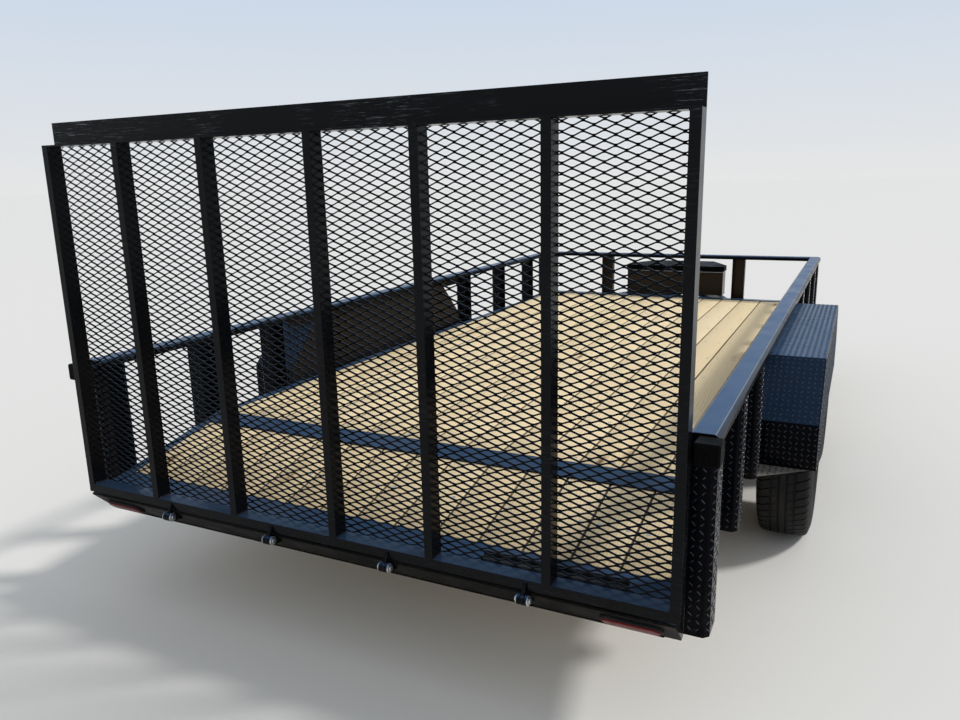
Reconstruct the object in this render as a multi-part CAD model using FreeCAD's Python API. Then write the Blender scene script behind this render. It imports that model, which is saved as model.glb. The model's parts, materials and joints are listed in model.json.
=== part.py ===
import FreeCAD, Part
import math
import os

# A tandem axle utility trailer: a steel frame with a plank deck that slopes down
# at the tail, formed side rails on tread plate posts, tread plate fenders, a
# mesh ramp gate, a tongue with a toolbox, a ball coupler and a tongue jack.
# Millimetres. X points right seen from behind, Y forward, Z up from the ground.

V = FreeCAD.Vector

# Ground, tyres and the two heights that the rest hangs on
GROUND_Z = 0.0
TYRE_D = 688.0
TYRE_W = 203.0
DECK_H = 515.0
RAIL_UP = 330.0

# Deck and frame, Y counted from the rear edge of the tail
DECK_HALF_W = 1020.0
DECK_LEN = 4497.0
TAIL_LEN = 618.0
TAIL_DROP = 128.0
FRAME_D = 101.6
FRAME_FLANGE_W = 41.0
FRAME_FLANGE_T = 6.0
FRAME_WEB_T = 5.0
PLANK_T = 38.0
PLANK_COUNT = 14
PLANK_GAP = 4.0
CROSS_COUNT = 9
CROSS_FLANGE_W = 34.0
CROSS_T = 5.0
APRON_W = 150.0
APRON_T = 5.0
STRIP_W = 90.0
STRIP_T = 5.0
HEADER_LIP_T = 5.0
HEADER_LIP_W = 50.0

# Rails and posts
RAIL_W = 76.0
RAIL_FLAT_W = 54.0
RAIL_SIDE_H = 28.0
RAIL_T = 3.5
RAIL_INSET = 9.0
RAIL_REAR_Y = 90.0
MITRE_REACH = 100.0
POST_DEPTH = 63.0
POST_W = 104.0
POST_BEVEL = 14.0
POST_T = 4.8
POST_TO_RAIL_END = 3.0
POST_TO_FENDER_REAR = 118.0
POST_TO_FENDER_FRONT = 87.0
LAST_POST_BACK = 77.0
FRONT_POST_PLACE = 0.508
FRONT_POST_W = 92.0

# Wheels and running gear
TRACK_OUT = 136.0
AXLE_SPACING = 864.0
AXLE_PLACE = 0.442
WHEEL_SIDES = 30
RIM_D = 381.0
RIM_W = 140.0
RIM_T = 4.0
RIM_WELL = 22.0
DISC_HOLE_R = 42.0
WINDOW_COUNT = 8
WINDOW_R = 17.0
WINDOW_CIRCLE_R = 130.0
WINDOW_SIDES = 8
AXLE_TUBE_D = 60.0
AXLE_TUBE_SHORT = 100.0
SPINDLE_D = 35.0
HUB_CLEAR = 0.08
DRUM_D = 254.0
DRUM_W = 60.0
DRUM_BACK = 88.0
DRUM_SIDES = 24
BRAKE_PLATE_T = 5.0
SPRING_W = 44.0
SPRING_IN = 23.0
SPRING_LEN = 641.0
LEAF_T = 6.0
LEAF_COUNT = 4
LEAF_RISE = 34.0
LEAF_STEP = 0.22
EYE_R = 16.0
EYE_SIDES = 12
HANGER_T = 5.0
SADDLE_H = 12.0
SADDLE_L = 68.0
SEAT_L = 110.0
SEAT_T = 8.0

# Fenders
FENDER_GAP = 26.0
FENDER_W = 220.0
FENDER_DROP = 67.0
FENDER_RISE = 198.0
FENDER_LEN = 1720.0
FENDER_SLANT = 200.0
FENDER_T = 3.0
FENDER_OVER_DRUM = 16.0
GUSSET_L = 160.0
GUSSET_SHORT = 20.0
FENDER_FOOT_L = 50.0

# Ramp gate
GATE_OVER = 10.0
GATE_H = 1218.0
GATE_LIFT = 34.0
TUBE_W = 25.4
TUBE_D = 50.8
TUBE_T = 2.5
UPRIGHT_PLACES = (-1.0, -0.69, -0.354, 0.021, 0.339, 0.678, 1.0)
GATE_ANGLE_T = 5.0
FOOT_LEG_H = 29.0
TOP_LEG_H = 76.0
HINGE_BACK = 14.0
HINGE_BELOW = 14.0
HINGE_PIN_D = 16.0
HINGE_CLEAR = 0.08
HINGE_EYE_R = 14.0
HINGE_TAB_T = 10.0
LUG_T = 8.0
LUG_GAP = 1.5
HINGE_PLACES = (0.204, 0.6136)
MESH_LONG = 50.8
MESH_SHORT = 23.4
STRAND_W = 4.6
STRAND_T = 1.6
STRAND_GAP = 0.3
MESH_EDGE = 16.0
LATCH_H = 56.0
LATCH_W = 62.0
LATCH_CLEAR = 6.0
LATCH_BELOW_RAIL = 5.0
LATCH_ROD_D = 10.0
LATCH_ROD_UP = 20.0
TAB_T = 6.0
TAB_H = 66.0
TAB_BELOW_RAIL = 12.0

# Tongue, coupler, jack and toolbox
TONGUE_LEN = 1220.0
TONGUE_PLACE = 0.446
TONGUE_NECK = 66.0
BALL_D = 50.8
COUPLER_L = 300.0
COUPLER_W = 76.0
COUPLER_H = 70.0
COUPLER_T = 5.0
WING_L = 150.0
LEVER_L = 125.0
NOSE_L = 42.0
JACK_BACK = 345.0
JACK_D = 57.0
JACK_T = 4.0
JACK_TOP_Z = 720.0
JACK_LEG_CLEAR = 0.09
JACK_TRAVEL = 250.0
JACK_CAP = 12.0
JACK_GEAR_X = 40.0
CRANK_R = 140.0
BOX_W = 770.0
BOX_FRONT_W = 470.0
BOX_Y = 140.0
BOX_LEN = 400.0
BOX_SIDE_L = 120.0
BOX_H = 225.0
BOX_T = 2.0
LID_H = 34.0
LID_LAP = 6.0
LID_PIN_BACK = 5.0
KNUCKLE_R = 4.5
KNUCKLE_L = 34.0
KNUCKLE_GAP = 0.6
LAMP_L = 165.0
LAMP_W = 57.0
LAMP_T = 12.0
LAMP_PLACE = 0.885
LAMP_SIDES = 8

# Worked out from the sizes above
RAIL_H = DECK_H + RAIL_UP
GATE_HALF_W = DECK_HALF_W + GATE_OVER
FENDER_INNER_X = DECK_HALF_W + FENDER_GAP
FENDER_OUTER_X = FENDER_INNER_X + FENDER_W
FENDER_TOP_Z = RAIL_H - FENDER_DROP
FENDER_SHOULDER_Z = FENDER_TOP_Z - FENDER_RISE
FENDER_BOTTOM_Z = DECK_H - FRAME_D
TRACK_HALF = DECK_HALF_W + TRACK_OUT
SPRING_X = DECK_HALF_W - SPRING_IN
FRONT_POST_X = DECK_HALF_W * FRONT_POST_PLACE
TONGUE_SPREAD = DECK_HALF_W * TONGUE_PLACE
AXLE_MID_Y = round(DECK_LEN * AXLE_PLACE)
HINGE_Y = -HINGE_BACK
REAR_REACH = HINGE_BACK + HINGE_EYE_R
FRONT_REACH = DECK_LEN + TONGUE_LEN + NOSE_L
ORIGIN_Y = (FRONT_REACH - REAR_REACH) / 2.0
SLOPE = math.atan(TAIL_DROP / TAIL_LEN)
TAIL_Z = DECK_H - TAIL_DROP
HINGE_Z = TAIL_Z - HINGE_BELOW
GATE_Z = TAIL_Z + GATE_LIFT
FRAME_BOTTOM = DECK_H - FRAME_D
WEB_X = DECK_HALF_W - FRAME_WEB_T
CLEAR_X = DECK_HALF_W - FRAME_FLANGE_W
HEADER_Y = DECK_LEN - FRAME_FLANGE_W
RAIL_X = DECK_HALF_W - RAIL_INSET + RAIL_W / 2.0
RAIL_FRONT_Y = DECK_LEN - RAIL_INSET + RAIL_W
HALF_TURN = math.tan(math.radians(22.5))
RAIL_BEVEL = (RAIL_W - RAIL_FLAT_W) / 2.0
POST_TOP = RAIL_H - RAIL_BEVEL - RAIL_T * HALF_TURN
AXLE_Z = TYRE_D / 2.0
AXLE_Y = (AXLE_MID_Y - AXLE_SPACING / 2.0, AXLE_MID_Y + AXLE_SPACING / 2.0)
FENDER_Y = AXLE_MID_Y - FENDER_LEN / 2.0
COUPLER_Y = DECK_LEN + TONGUE_LEN
JACK_Y = COUPLER_Y - JACK_BACK

# Post centres along the side: the rear and front groups lie between their end posts
REAR_POSTS = (RAIL_REAR_Y + POST_W / 2.0 + POST_TO_RAIL_END, FENDER_Y - POST_TO_FENDER_REAR)
FRONT_POSTS = (FENDER_Y + FENDER_LEN + POST_TO_FENDER_FRONT, DECK_LEN - LAST_POST_BACK)
REAR_POST_PLACES = (0.0, 0.509, 1.0)
FRONT_POST_PLACES = (0.0, 0.38, 0.751, 1.0)
SIDE_POSTS = [REAR_POSTS[0] + place * (REAR_POSTS[1] - REAR_POSTS[0]) for place in REAR_POST_PLACES]
SIDE_POSTS += [FRONT_POSTS[0] + place * (FRONT_POSTS[1] - FRONT_POSTS[0]) for place in FRONT_POST_PLACES]

# Half of the tyre's section from bead to crown: across as a share of half the
# width, height as a share of the sidewall's
TYRE_SECTION = (
    (0.69, 0.0),
    (0.93, 0.14),
    (1.0, 0.42),
    (0.965, 0.72),
    (0.87, 0.9),
    (0.68, 0.985),
    (0.34, 1.0),
)


def at(shape, x=0.0, y=0.0, z=0.0):
    return shape.translated(V(x, y, z))


def box(x0, x1, y0, y1, z0, z1):
    return Part.makeBox(x1 - x0, y1 - y0, z1 - z0, V(x0, y0, z0))


def prism(points, along):
    """A solid from a closed outline of vectors, pushed along a vector."""
    edge = Part.makePolygon(list(points) + [points[0]])
    return Part.Face(edge).extrude(along)


def side_prism(points, x0, x1):
    """Outline given as (y, z), pushed from x0 to x1."""
    return prism([V(x0, y, z) for y, z in points], V(x1 - x0, 0, 0))


def end_prism(points, y0, y1):
    """Outline given as (x, z), pushed from y0 to y1."""
    return prism([V(x, y0, z) for x, z in points], V(0, y1 - y0, 0))


def plan_prism(points, z0, z1):
    """Outline given as (x, y), pushed from z0 to z1."""
    return prism([V(x, y, z0) for x, y in points], V(0, 0, z1 - z0))


def cylinder(x, y, z, direction, radius, length):
    return Part.makeCylinder(radius, length, V(x, y, z), direction)


def turned(outline, sides):
    """Solid turned about the X axis from (across, radius), with flat sides."""
    rings = []
    for i in range(sides):
        turn = 2.0 * math.pi * i / sides
        rings.append([V(x, r * math.sin(turn), r * math.cos(turn)) for x, r in outline])
    faces = []
    for i, ring in enumerate(rings):
        after = rings[(i + 1) % sides]
        for j, (x, r) in enumerate(outline):
            k = (j + 1) % len(outline)
            corners = [ring[j], ring[k]]
            if outline[k][1] > 0.0:
                corners.append(after[k])
            if r > 0.0:
                corners.append(after[j])
            if len(corners) > 2:
                faces.append(Part.Face(Part.makePolygon(corners + [corners[0]])))
    solid = Part.Solid(Part.Shell(faces))
    if solid.Volume < 0.0:
        solid.reverse()
    return solid


def disc(x0, x1, radius, sides):
    """Flat sided disc about the X axis."""
    return turned([(x0, 0.0), (x0, radius), (x1, radius), (x1, 0.0)], sides)


def fuse(shapes):
    shapes = list(shapes)
    if len(shapes) == 1:
        return shapes[0]
    return shapes[0].multiFuse(shapes[1:]).removeSplitter()


def mirrored(shape):
    return shape.mirror(V(0, 0, 0), V(1, 0, 0))


def both(shape):
    return [shape, mirrored(shape)]


def bent(path, t):
    """Closed outline of a sheet bent along a path, t thick to the left of it."""
    offset = []
    count = len(path)
    for i, (x, y) in enumerate(path):
        normals = []
        for a, b in ((i - 1, i), (i, i + 1)):
            if a < 0 or b >= count:
                continue
            dx = path[b][0] - path[a][0]
            dy = path[b][1] - path[a][1]
            run = math.hypot(dx, dy)
            normals.append((-dy / run, dx / run))
        nx = sum(n[0] for n in normals) / len(normals)
        ny = sum(n[1] for n in normals) / len(normals)
        size = nx * nx + ny * ny
        offset.append((x + t * nx / size, y + t * ny / size))
    return list(path) + offset[::-1]


def under_deck(y, depth):
    """Height of a line depth below the deck and parallel to it."""
    bend = TAIL_LEN + depth * math.tan(SLOPE / 2.0)
    return DECK_H - depth - max(0.0, bend - y) * math.tan(SLOPE)


def deck_band(top, bottom, y0, y1):
    """Outline between two depths below the deck, from y0 to y1, bent at the tail."""
    points = [(y0, under_deck(y0, top))]
    if y0 < TAIL_LEN < y1:
        points.append((TAIL_LEN + top * math.tan(SLOPE / 2.0), DECK_H - top))
    points += [(y1, under_deck(y1, top)), (y1, under_deck(y1, bottom))]
    if y0 < TAIL_LEN < y1:
        points.append((TAIL_LEN + bottom * math.tan(SLOPE / 2.0), DECK_H - bottom))
    points.append((y0, under_deck(y0, bottom)))
    return points


def tail_cut():
    """The wedge that is cut off below the tail, at 45 degrees."""
    top = under_deck(0.0, 0.0)
    line = top - APRON_T + APRON_T * math.sqrt(2.0)
    reach = FRAME_D * 2.0
    return side_prism(
        [
            (-1.0, top + 1.0),
            (APRON_T, top + 1.0),
            (APRON_T, line - APRON_T),
            (reach, line - reach),
            (-1.0, line - reach),
        ],
        -DECK_HALF_W - 1.0,
        DECK_HALF_W + 1.0,
    )


def corner_wedge(half_w, front, size, z0, z1):
    """Plan triangle on the front side of the right corner's mitre line."""
    return plan_prism(
        [(half_w + 1.0, front + 1.0), (half_w - size, front - size), (half_w - size, front + 1.0)],
        z0,
        z1,
    )


def side_frame():
    """Right side channel, open inwards, bent at the tail and mitred in front."""
    outer = side_prism(deck_band(0.0, FRAME_D, 0.0, DECK_LEN), CLEAR_X, DECK_HALF_W)
    inner = side_prism(
        deck_band(FRAME_FLANGE_T, FRAME_D - FRAME_FLANGE_T, -1.0, DECK_LEN + 1.0), CLEAR_X - 1.0, WEB_X
    )
    shape = outer.cut(inner).cut(tail_cut())
    wedge = corner_wedge(DECK_HALF_W, DECK_LEN, FRAME_FLANGE_W * 2.0, 0.0, RAIL_H)
    return shape.cut(wedge)


def front_header():
    """Front channel, open rearwards, mitred to the side channels."""
    web_y = DECK_LEN - FRAME_WEB_T
    outer = box(-DECK_HALF_W, DECK_HALF_W, HEADER_Y, DECK_LEN, FRAME_BOTTOM, DECK_H)
    inner = box(
        -DECK_HALF_W - 1.0,
        DECK_HALF_W + 1.0,
        HEADER_Y - 1.0,
        web_y,
        FRAME_BOTTOM + FRAME_FLANGE_T,
        DECK_H - FRAME_FLANGE_T,
    )
    shape = outer.cut(inner)
    size = FRAME_FLANGE_W * 2.0
    keep = plan_prism(
        [
            (-DECK_HALF_W, DECK_LEN),
            (-DECK_HALF_W + size, DECK_LEN - size),
            (DECK_HALF_W - size, DECK_LEN - size),
            (DECK_HALF_W, DECK_LEN),
        ],
        0.0,
        RAIL_H,
    )
    return shape.common(keep)


def crossmembers():
    """Channels between the side webs, under the planks."""
    first = TAIL_LEN / 2.0
    second = TAIL_LEN + CROSS_FLANGE_W
    step = (HEADER_Y - CROSS_FLANGE_W - second) / CROSS_COUNT
    rows = [first] + [second + i * step for i in range(CROSS_COUNT)]
    depth = FRAME_D - FRAME_FLANGE_T - PLANK_T
    shapes = []
    for y in rows:
        channel = bent(
            [(CROSS_FLANGE_W, 0.0), (0.0, 0.0), (0.0, -depth), (CROSS_FLANGE_W, -depth)], CROSS_T
        )
        shape = side_prism(channel, -WEB_X, WEB_X)
        if y < TAIL_LEN:
            shape = shape.rotated(V(0, 0, 0), V(1, 0, 0), math.degrees(SLOPE))
        shapes.append(at(shape, y=y, z=under_deck(y, PLANK_T)))
    return Part.makeCompound(shapes)


def tail_plate():
    """Bent plate that closes the tail: a deck apron and a 45 degree underside."""
    rear = under_deck(0.0, 0.0)
    apron = side_prism(deck_band(0.0, APRON_T, 0.0, APRON_W), -CLEAR_X, CLEAR_X)
    low_y = (FRAME_D - APRON_T) / (1.0 + math.tan(SLOPE))
    slope = bent([(0.0, rear), (0.0, rear - APRON_T), (low_y, rear - APRON_T - low_y)], APRON_T)
    back = side_prism(slope, -DECK_HALF_W, DECK_HALF_W)
    lip_z = rear - APRON_T - low_y
    lip = box(-CLEAR_X, CLEAR_X, low_y - APRON_T, low_y + 24.0, lip_z, lip_z + APRON_T)
    return fuse([apron, back, lip])


def deck_planks():
    """Planks side by side, cut at the bend, between the apron and the header."""
    width = (2.0 * CLEAR_X - (PLANK_COUNT - 1) * PLANK_GAP - 1.0) / PLANK_COUNT
    shapes = []
    for i in range(PLANK_COUNT):
        x0 = -CLEAR_X + 0.5 + i * (width + PLANK_GAP)
        tail = side_prism(deck_band(0.0, PLANK_T, APRON_W + 1.0, TAIL_LEN - 1.0), x0, x0 + width)
        flat = side_prism(deck_band(0.0, PLANK_T, TAIL_LEN + 9.0, HEADER_Y - 1.0), x0, x0 + width)
        shapes += [tail, flat]
    return Part.makeCompound(shapes)


def deck_strips():
    """Steel strip over the planks' ends at the bend, and the header's lip."""
    strip = side_prism(deck_band(-STRIP_T, 0.0, TAIL_LEN - STRIP_W, TAIL_LEN), -CLEAR_X, CLEAR_X)
    lip = box(
        -CLEAR_X,
        CLEAR_X,
        HEADER_Y - HEADER_LIP_W,
        HEADER_Y + FRAME_FLANGE_W / 2.0,
        DECK_H,
        DECK_H + HEADER_LIP_T,
    )
    return Part.makeCompound([strip, lip])


def rail_section():
    """Formed rail as (across, height): flat top, bevelled shoulders, short legs."""
    half = RAIL_W / 2.0
    flat = RAIL_FLAT_W / 2.0
    return bent(
        [
            (half, -RAIL_SIDE_H),
            (half, -RAIL_BEVEL),
            (flat, 0.0),
            (-flat, 0.0),
            (-half, -RAIL_BEVEL),
            (-half, -RAIL_SIDE_H),
        ],
        RAIL_T,
    )


def side_rail():
    """Right side rail, mitred to the front rail."""
    section = [(RAIL_X + a, RAIL_H + z) for a, z in rail_section()]
    shape = end_prism(section, RAIL_REAR_Y, RAIL_FRONT_Y)
    outer = RAIL_X + RAIL_W / 2.0
    return shape.cut(corner_wedge(outer, RAIL_FRONT_Y, RAIL_W * 1.5, RAIL_H - MITRE_REACH, RAIL_H + 10.0))


def front_rail():
    """Front rail between the two mitres."""
    outer = RAIL_X + RAIL_W / 2.0
    mid = RAIL_FRONT_Y - RAIL_W / 2.0
    section = [(mid + a, RAIL_H + z) for a, z in rail_section()]
    shape = side_prism(section, -outer, outer)
    size = RAIL_W * 1.5
    keep = plan_prism(
        [
            (-outer, RAIL_FRONT_Y),
            (-outer + size, RAIL_FRONT_Y - size),
            (outer - size, RAIL_FRONT_Y - size),
            (outer, RAIL_FRONT_Y),
        ],
        RAIL_H - MITRE_REACH,
        RAIL_H + 10.0,
    )
    return shape.common(keep)


def post(width, z0):
    """Post standing on the plane x = 0 and facing +X, centred on y = 0."""
    half = width / 2.0
    path = [
        (0.0, half),
        (POST_DEPTH - POST_BEVEL, half),
        (POST_DEPTH, half - POST_BEVEL),
        (POST_DEPTH, -half + POST_BEVEL),
        (POST_DEPTH - POST_BEVEL, -half),
        (0.0, -half),
    ]
    return plan_prism(bent(path, -POST_T), z0, POST_TOP)


def side_posts():
    """Right side posts on the outside of the side channel."""
    shapes = []
    for y in SIDE_POSTS:
        foot = under_deck(y, FRAME_D)
        shapes.append(at(post(POST_W, foot), DECK_HALF_W, y))
    return Part.makeCompound(shapes)


def front_posts():
    """Two posts on the front of the header."""
    shape = post(FRONT_POST_W, FRAME_BOTTOM).rotated(V(0, 0, 0), V(0, 0, 1), 90)
    return Part.makeCompound([at(shape, x, DECK_LEN) for x in (-FRONT_POST_X, FRONT_POST_X)])


def fender():
    """Right fender: bent top, outer skirt, inner plate and two end gussets."""
    y0 = FENDER_Y
    y1 = FENDER_Y + FENDER_LEN
    outline = [
        (y0, FENDER_BOTTOM_Z),
        (y0, FENDER_SHOULDER_Z),
        (y0 + FENDER_SLANT, FENDER_TOP_Z),
        (y1 - FENDER_SLANT, FENDER_TOP_Z),
        (y1, FENDER_SHOULDER_Z),
        (y1, FENDER_BOTTOM_Z),
    ]
    top = side_prism(bent(outline, -FENDER_T), FENDER_INNER_X, FENDER_OUTER_X)
    skirt = side_prism(outline, FENDER_OUTER_X - FENDER_T, FENDER_OUTER_X)
    over_drum = AXLE_Z + DRUM_D / 2.0 + FENDER_OVER_DRUM
    inner = side_prism(
        [(y, max(z, over_drum)) for y, z in outline], FENDER_INNER_X, FENDER_INNER_X + FENDER_T
    )
    apron = box(
        FENDER_INNER_X, FENDER_INNER_X + FENDER_T, y0, y1, FENDER_TOP_Z - 1.0, RAIL_H - RAIL_T
    )
    shapes = [top, skirt, inner, apron]
    for y in (y0 + 10.0, y1 - 60.0):
        shapes.append(
            box(DECK_HALF_W, FENDER_INNER_X + 1.0, y, y + FENDER_FOOT_L, FENDER_BOTTOM_Z, DECK_H - 5.0)
        )
    for y, way in ((y0, 1.0), (y1, -1.0)):
        plate = plan_prism(
            [
                (FENDER_INNER_X, y + way * FENDER_T),
                (FENDER_OUTER_X - GUSSET_SHORT, y + way * FENDER_T),
                (FENDER_OUTER_X - GUSSET_SHORT, y),
                (FENDER_INNER_X, y - way * GUSSET_L),
            ],
            FENDER_BOTTOM_Z - FENDER_T,
            FENDER_BOTTOM_Z,
        )
        shapes.append(plate)
    return fuse(shapes)


def axle(y):
    """Axle tube with its spindles, brake backing plates and spring saddles."""
    tube_half = TRACK_HALF - AXLE_TUBE_SHORT
    tube = cylinder(-tube_half, y, AXLE_Z, V(1, 0, 0), AXLE_TUBE_D / 2.0, 2.0 * tube_half)
    spindle_half = TRACK_HALF + 14.0
    spindle = cylinder(-spindle_half, y, AXLE_Z, V(1, 0, 0), SPINDLE_D / 2.0, 2.0 * spindle_half)
    back = tube_half - 10.0
    plate = at(disc(back, back + BRAKE_PLATE_T, DRUM_D / 2.0 + 6.0, DRUM_SIDES), 0.0, y, AXLE_Z)
    low = AXLE_Z - AXLE_TUBE_D / 2.0
    saddle = box(
        SPRING_X - SPRING_W / 2.0,
        SPRING_X + SPRING_W / 2.0,
        y - SADDLE_L / 2.0,
        y + SADDLE_L / 2.0,
        low - 1.0,
        low + SADDLE_H,
    )
    inside_arc = cylinder(0.0, y, low + leaf_radius(), V(1, 0, 0), leaf_radius(), DECK_HALF_W)
    saddle = saddle.common(inside_arc)
    return fuse([tube, spindle] + both(plate) + both(saddle))


def tyre(x, y):
    """Tyre turned from its half section and the mirrored half."""
    bead = RIM_D / 2.0
    wall = TYRE_D / 2.0 - bead
    side = [(a * TYRE_W / 2.0, bead + h * wall) for a, h in TYRE_SECTION]
    outline = side + [(-a, r) for a, r in side[::-1]]
    return at(turned(outline, WHEEL_SIDES), x, y, AXLE_Z)


def rim(x, y, side):
    """Wheel: barrel with its flanges, and a dished disc with windows."""
    bead = RIM_D / 2.0
    half = RIM_W / 2.0
    well = bead - RIM_WELL
    barrel = bent([(-half, bead), (-half + 32.0, well), (half - 32.0, well), (half, bead)], -RIM_T)
    face = 6.0
    dish = 24.0
    disc_path = [(face, DISC_HOLE_R), (face, 92.0), (dish, 106.0), (dish, well - RIM_T + 0.5)]
    plate = turned([(a * side, r) for a, r in bent(disc_path, RIM_T)], WHEEL_SIDES)
    window = at(disc(-half, half, WINDOW_R, WINDOW_SIDES), 0.0, 0.0, WINDOW_CIRCLE_R)
    turn = 360.0 / WINDOW_COUNT
    windows = [window.rotated(V(0, 0, 0), V(1, 0, 0), (i + 0.5) * turn) for i in range(WINDOW_COUNT)]
    plate = plate.cut(windows)
    shell = turned([(a * side, r) for a, r in barrel], WHEEL_SIDES)
    return at(shell.fuse(plate), x, y, AXLE_Z)


def hub(x, y, side):
    """Hub and brake drum, bored to run on the spindle."""
    face = 6.0 - RIM_T
    # (across from the wheel's centre, radius)
    outline = [
        (-DRUM_BACK, 0.0),
        (-DRUM_BACK, DRUM_D / 2.0),
        (-DRUM_BACK + DRUM_W, DRUM_D / 2.0),
        (-DRUM_BACK + DRUM_W, 80.0),
        (face, 80.0),
        (face, DISC_HOLE_R - 0.9),
        (40.0, DISC_HOLE_R - 0.9),
        (46.0, 32.0),
        (46.0, 0.0),
    ]
    shape = turned([(a * side, r) for a, r in outline], DRUM_SIDES)
    bore_r = SPINDLE_D / 2.0 + HUB_CLEAR
    bore = cylinder(-side * (DRUM_BACK + 1.0), 0.0, 0.0, V(side, 0, 0), bore_r, DRUM_BACK + 23.0)
    return at(shape.cut(bore), x, y, AXLE_Z)


def leaf_radius():
    """Radius of the main leaf's upper face."""
    half = SPRING_LEN / 2.0
    return (half * half + LEAF_RISE * LEAF_RISE) / (2.0 * LEAF_RISE)


def leaf(index):
    """One leaf of a pack as a bent strip, the lowest having the highest index."""
    half = SPRING_LEN / 2.0
    radius = leaf_radius()
    top = radius + index * LEAF_T
    low = top + LEAF_T
    turn = math.asin(half * (1.0 - LEAF_STEP * index) / top)
    ends = [(r * math.sin(turn), radius - r * math.cos(turn)) for r in (top, low)]
    upper = Part.Arc(V(0, -ends[0][0], ends[0][1]), V(0, 0, radius - top), V(0, ends[0][0], ends[0][1]))
    lower = Part.Arc(V(0, ends[1][0], ends[1][1]), V(0, 0, radius - low), V(0, -ends[1][0], ends[1][1]))
    sides = [
        Part.makeLine(V(0, ends[0][0], ends[0][1]), V(0, ends[1][0], ends[1][1])),
        Part.makeLine(V(0, -ends[1][0], ends[1][1]), V(0, -ends[0][0], ends[0][1])),
    ]
    outline = Part.Wire([upper.toShape(), sides[0], lower.toShape(), sides[1]])
    return Part.Face(outline).extrude(V(SPRING_W, 0, 0))


def leaf_springs():
    """Leaf packs under each axle end, each with two eyes and a seat plate."""
    seat = AXLE_Z - AXLE_TUBE_D / 2.0
    under = -LEAF_COUNT * LEAF_T
    shapes = []
    for y in AXLE_Y:
        pack = [leaf(i) for i in range(LEAF_COUNT)]
        for s in (-1.0, 1.0):
            centre_z = LEAF_RISE + EYE_R - LEAF_T
            pack.append(at(disc(0.0, SPRING_W, EYE_R, EYE_SIDES), 0.0, s * SPRING_LEN / 2.0, centre_z))
        seat_half = SEAT_L / 2.0
        pack.append(box(-4.0, SPRING_W + 4.0, -seat_half, seat_half, under - SEAT_T, under + 2.0))
        shapes += both(at(fuse(pack), SPRING_X - SPRING_W / 2.0, y, seat))
    return Part.makeCompound(shapes)


def spring_hangers():
    """Hangers under the frame for the outer spring eyes, and the equalizers."""
    half = SPRING_LEN / 2.0
    eye_z = AXLE_Z - AXLE_TUBE_D / 2.0 + LEAF_RISE + EYE_R - LEAF_T
    inner_x = SPRING_X - SPRING_W / 2.0
    outer_x = SPRING_X + SPRING_W / 2.0
    outlines = []
    for y in (AXLE_Y[0] - half, AXLE_Y[1] + half):
        outlines.append(
            [
                (y - 40.0, FRAME_BOTTOM),
                (y + 40.0, FRAME_BOTTOM),
                (y + 18.0, eye_z - 18.0),
                (y - 18.0, eye_z - 18.0),
            ]
        )
    near_y = AXLE_Y[0] + half
    far_y = AXLE_Y[1] - half
    outlines.append(
        [
            (near_y - 18.0, eye_z - 16.0),
            (far_y + 18.0, eye_z - 16.0),
            (far_y + 18.0, eye_z + 12.0),
            (AXLE_MID_Y + 22.0, FRAME_BOTTOM),
            (AXLE_MID_Y - 22.0, FRAME_BOTTOM),
            (near_y - 18.0, eye_z + 12.0),
        ]
    )
    shapes = []
    for outline in outlines:
        ears = [
            side_prism(outline, inner_x - HANGER_T, inner_x),
            side_prism(outline, outer_x, outer_x + HANGER_T),
        ]
        base = [y for y, z in outline if z == FRAME_BOTTOM]
        cap = box(
            inner_x - HANGER_T,
            outer_x + HANGER_T,
            min(base),
            max(base),
            FRAME_BOTTOM - HANGER_T,
            FRAME_BOTTOM,
        )
        shapes += both(fuse(ears + [cap]))
    return Part.makeCompound(shapes)


def tongue_beam():
    """Right tongue channel, from the header to the coupler."""
    x0 = TONGUE_SPREAD
    x1 = TONGUE_NECK / 2.0
    y0 = DECK_LEN
    y1 = COUPLER_Y - COUPLER_L + 60.0
    turn = math.atan2(x0 - x1, y1 - y0)
    wide = FRAME_FLANGE_W / math.cos(turn)
    web = FRAME_WEB_T / math.cos(turn)
    outer = plan_prism([(x0 - wide, y0), (x0, y0), (x1, y1), (x1 - wide, y1)], FRAME_BOTTOM, DECK_H)
    inner = plan_prism(
        [
            (x0 - wide * 3.0, y0 - 1.0),
            (x0 - web, y0 - 1.0),
            (x1 - web, y1 + 1.0),
            (x1 - wide * 3.0, y1 + 1.0),
        ],
        FRAME_BOTTOM + FRAME_FLANGE_T,
        DECK_H - FRAME_FLANGE_T,
    )
    half = box(0.25, DECK_HALF_W, y0, y1, FRAME_BOTTOM, DECK_H)
    return outer.cut(inner).common(half)


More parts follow.
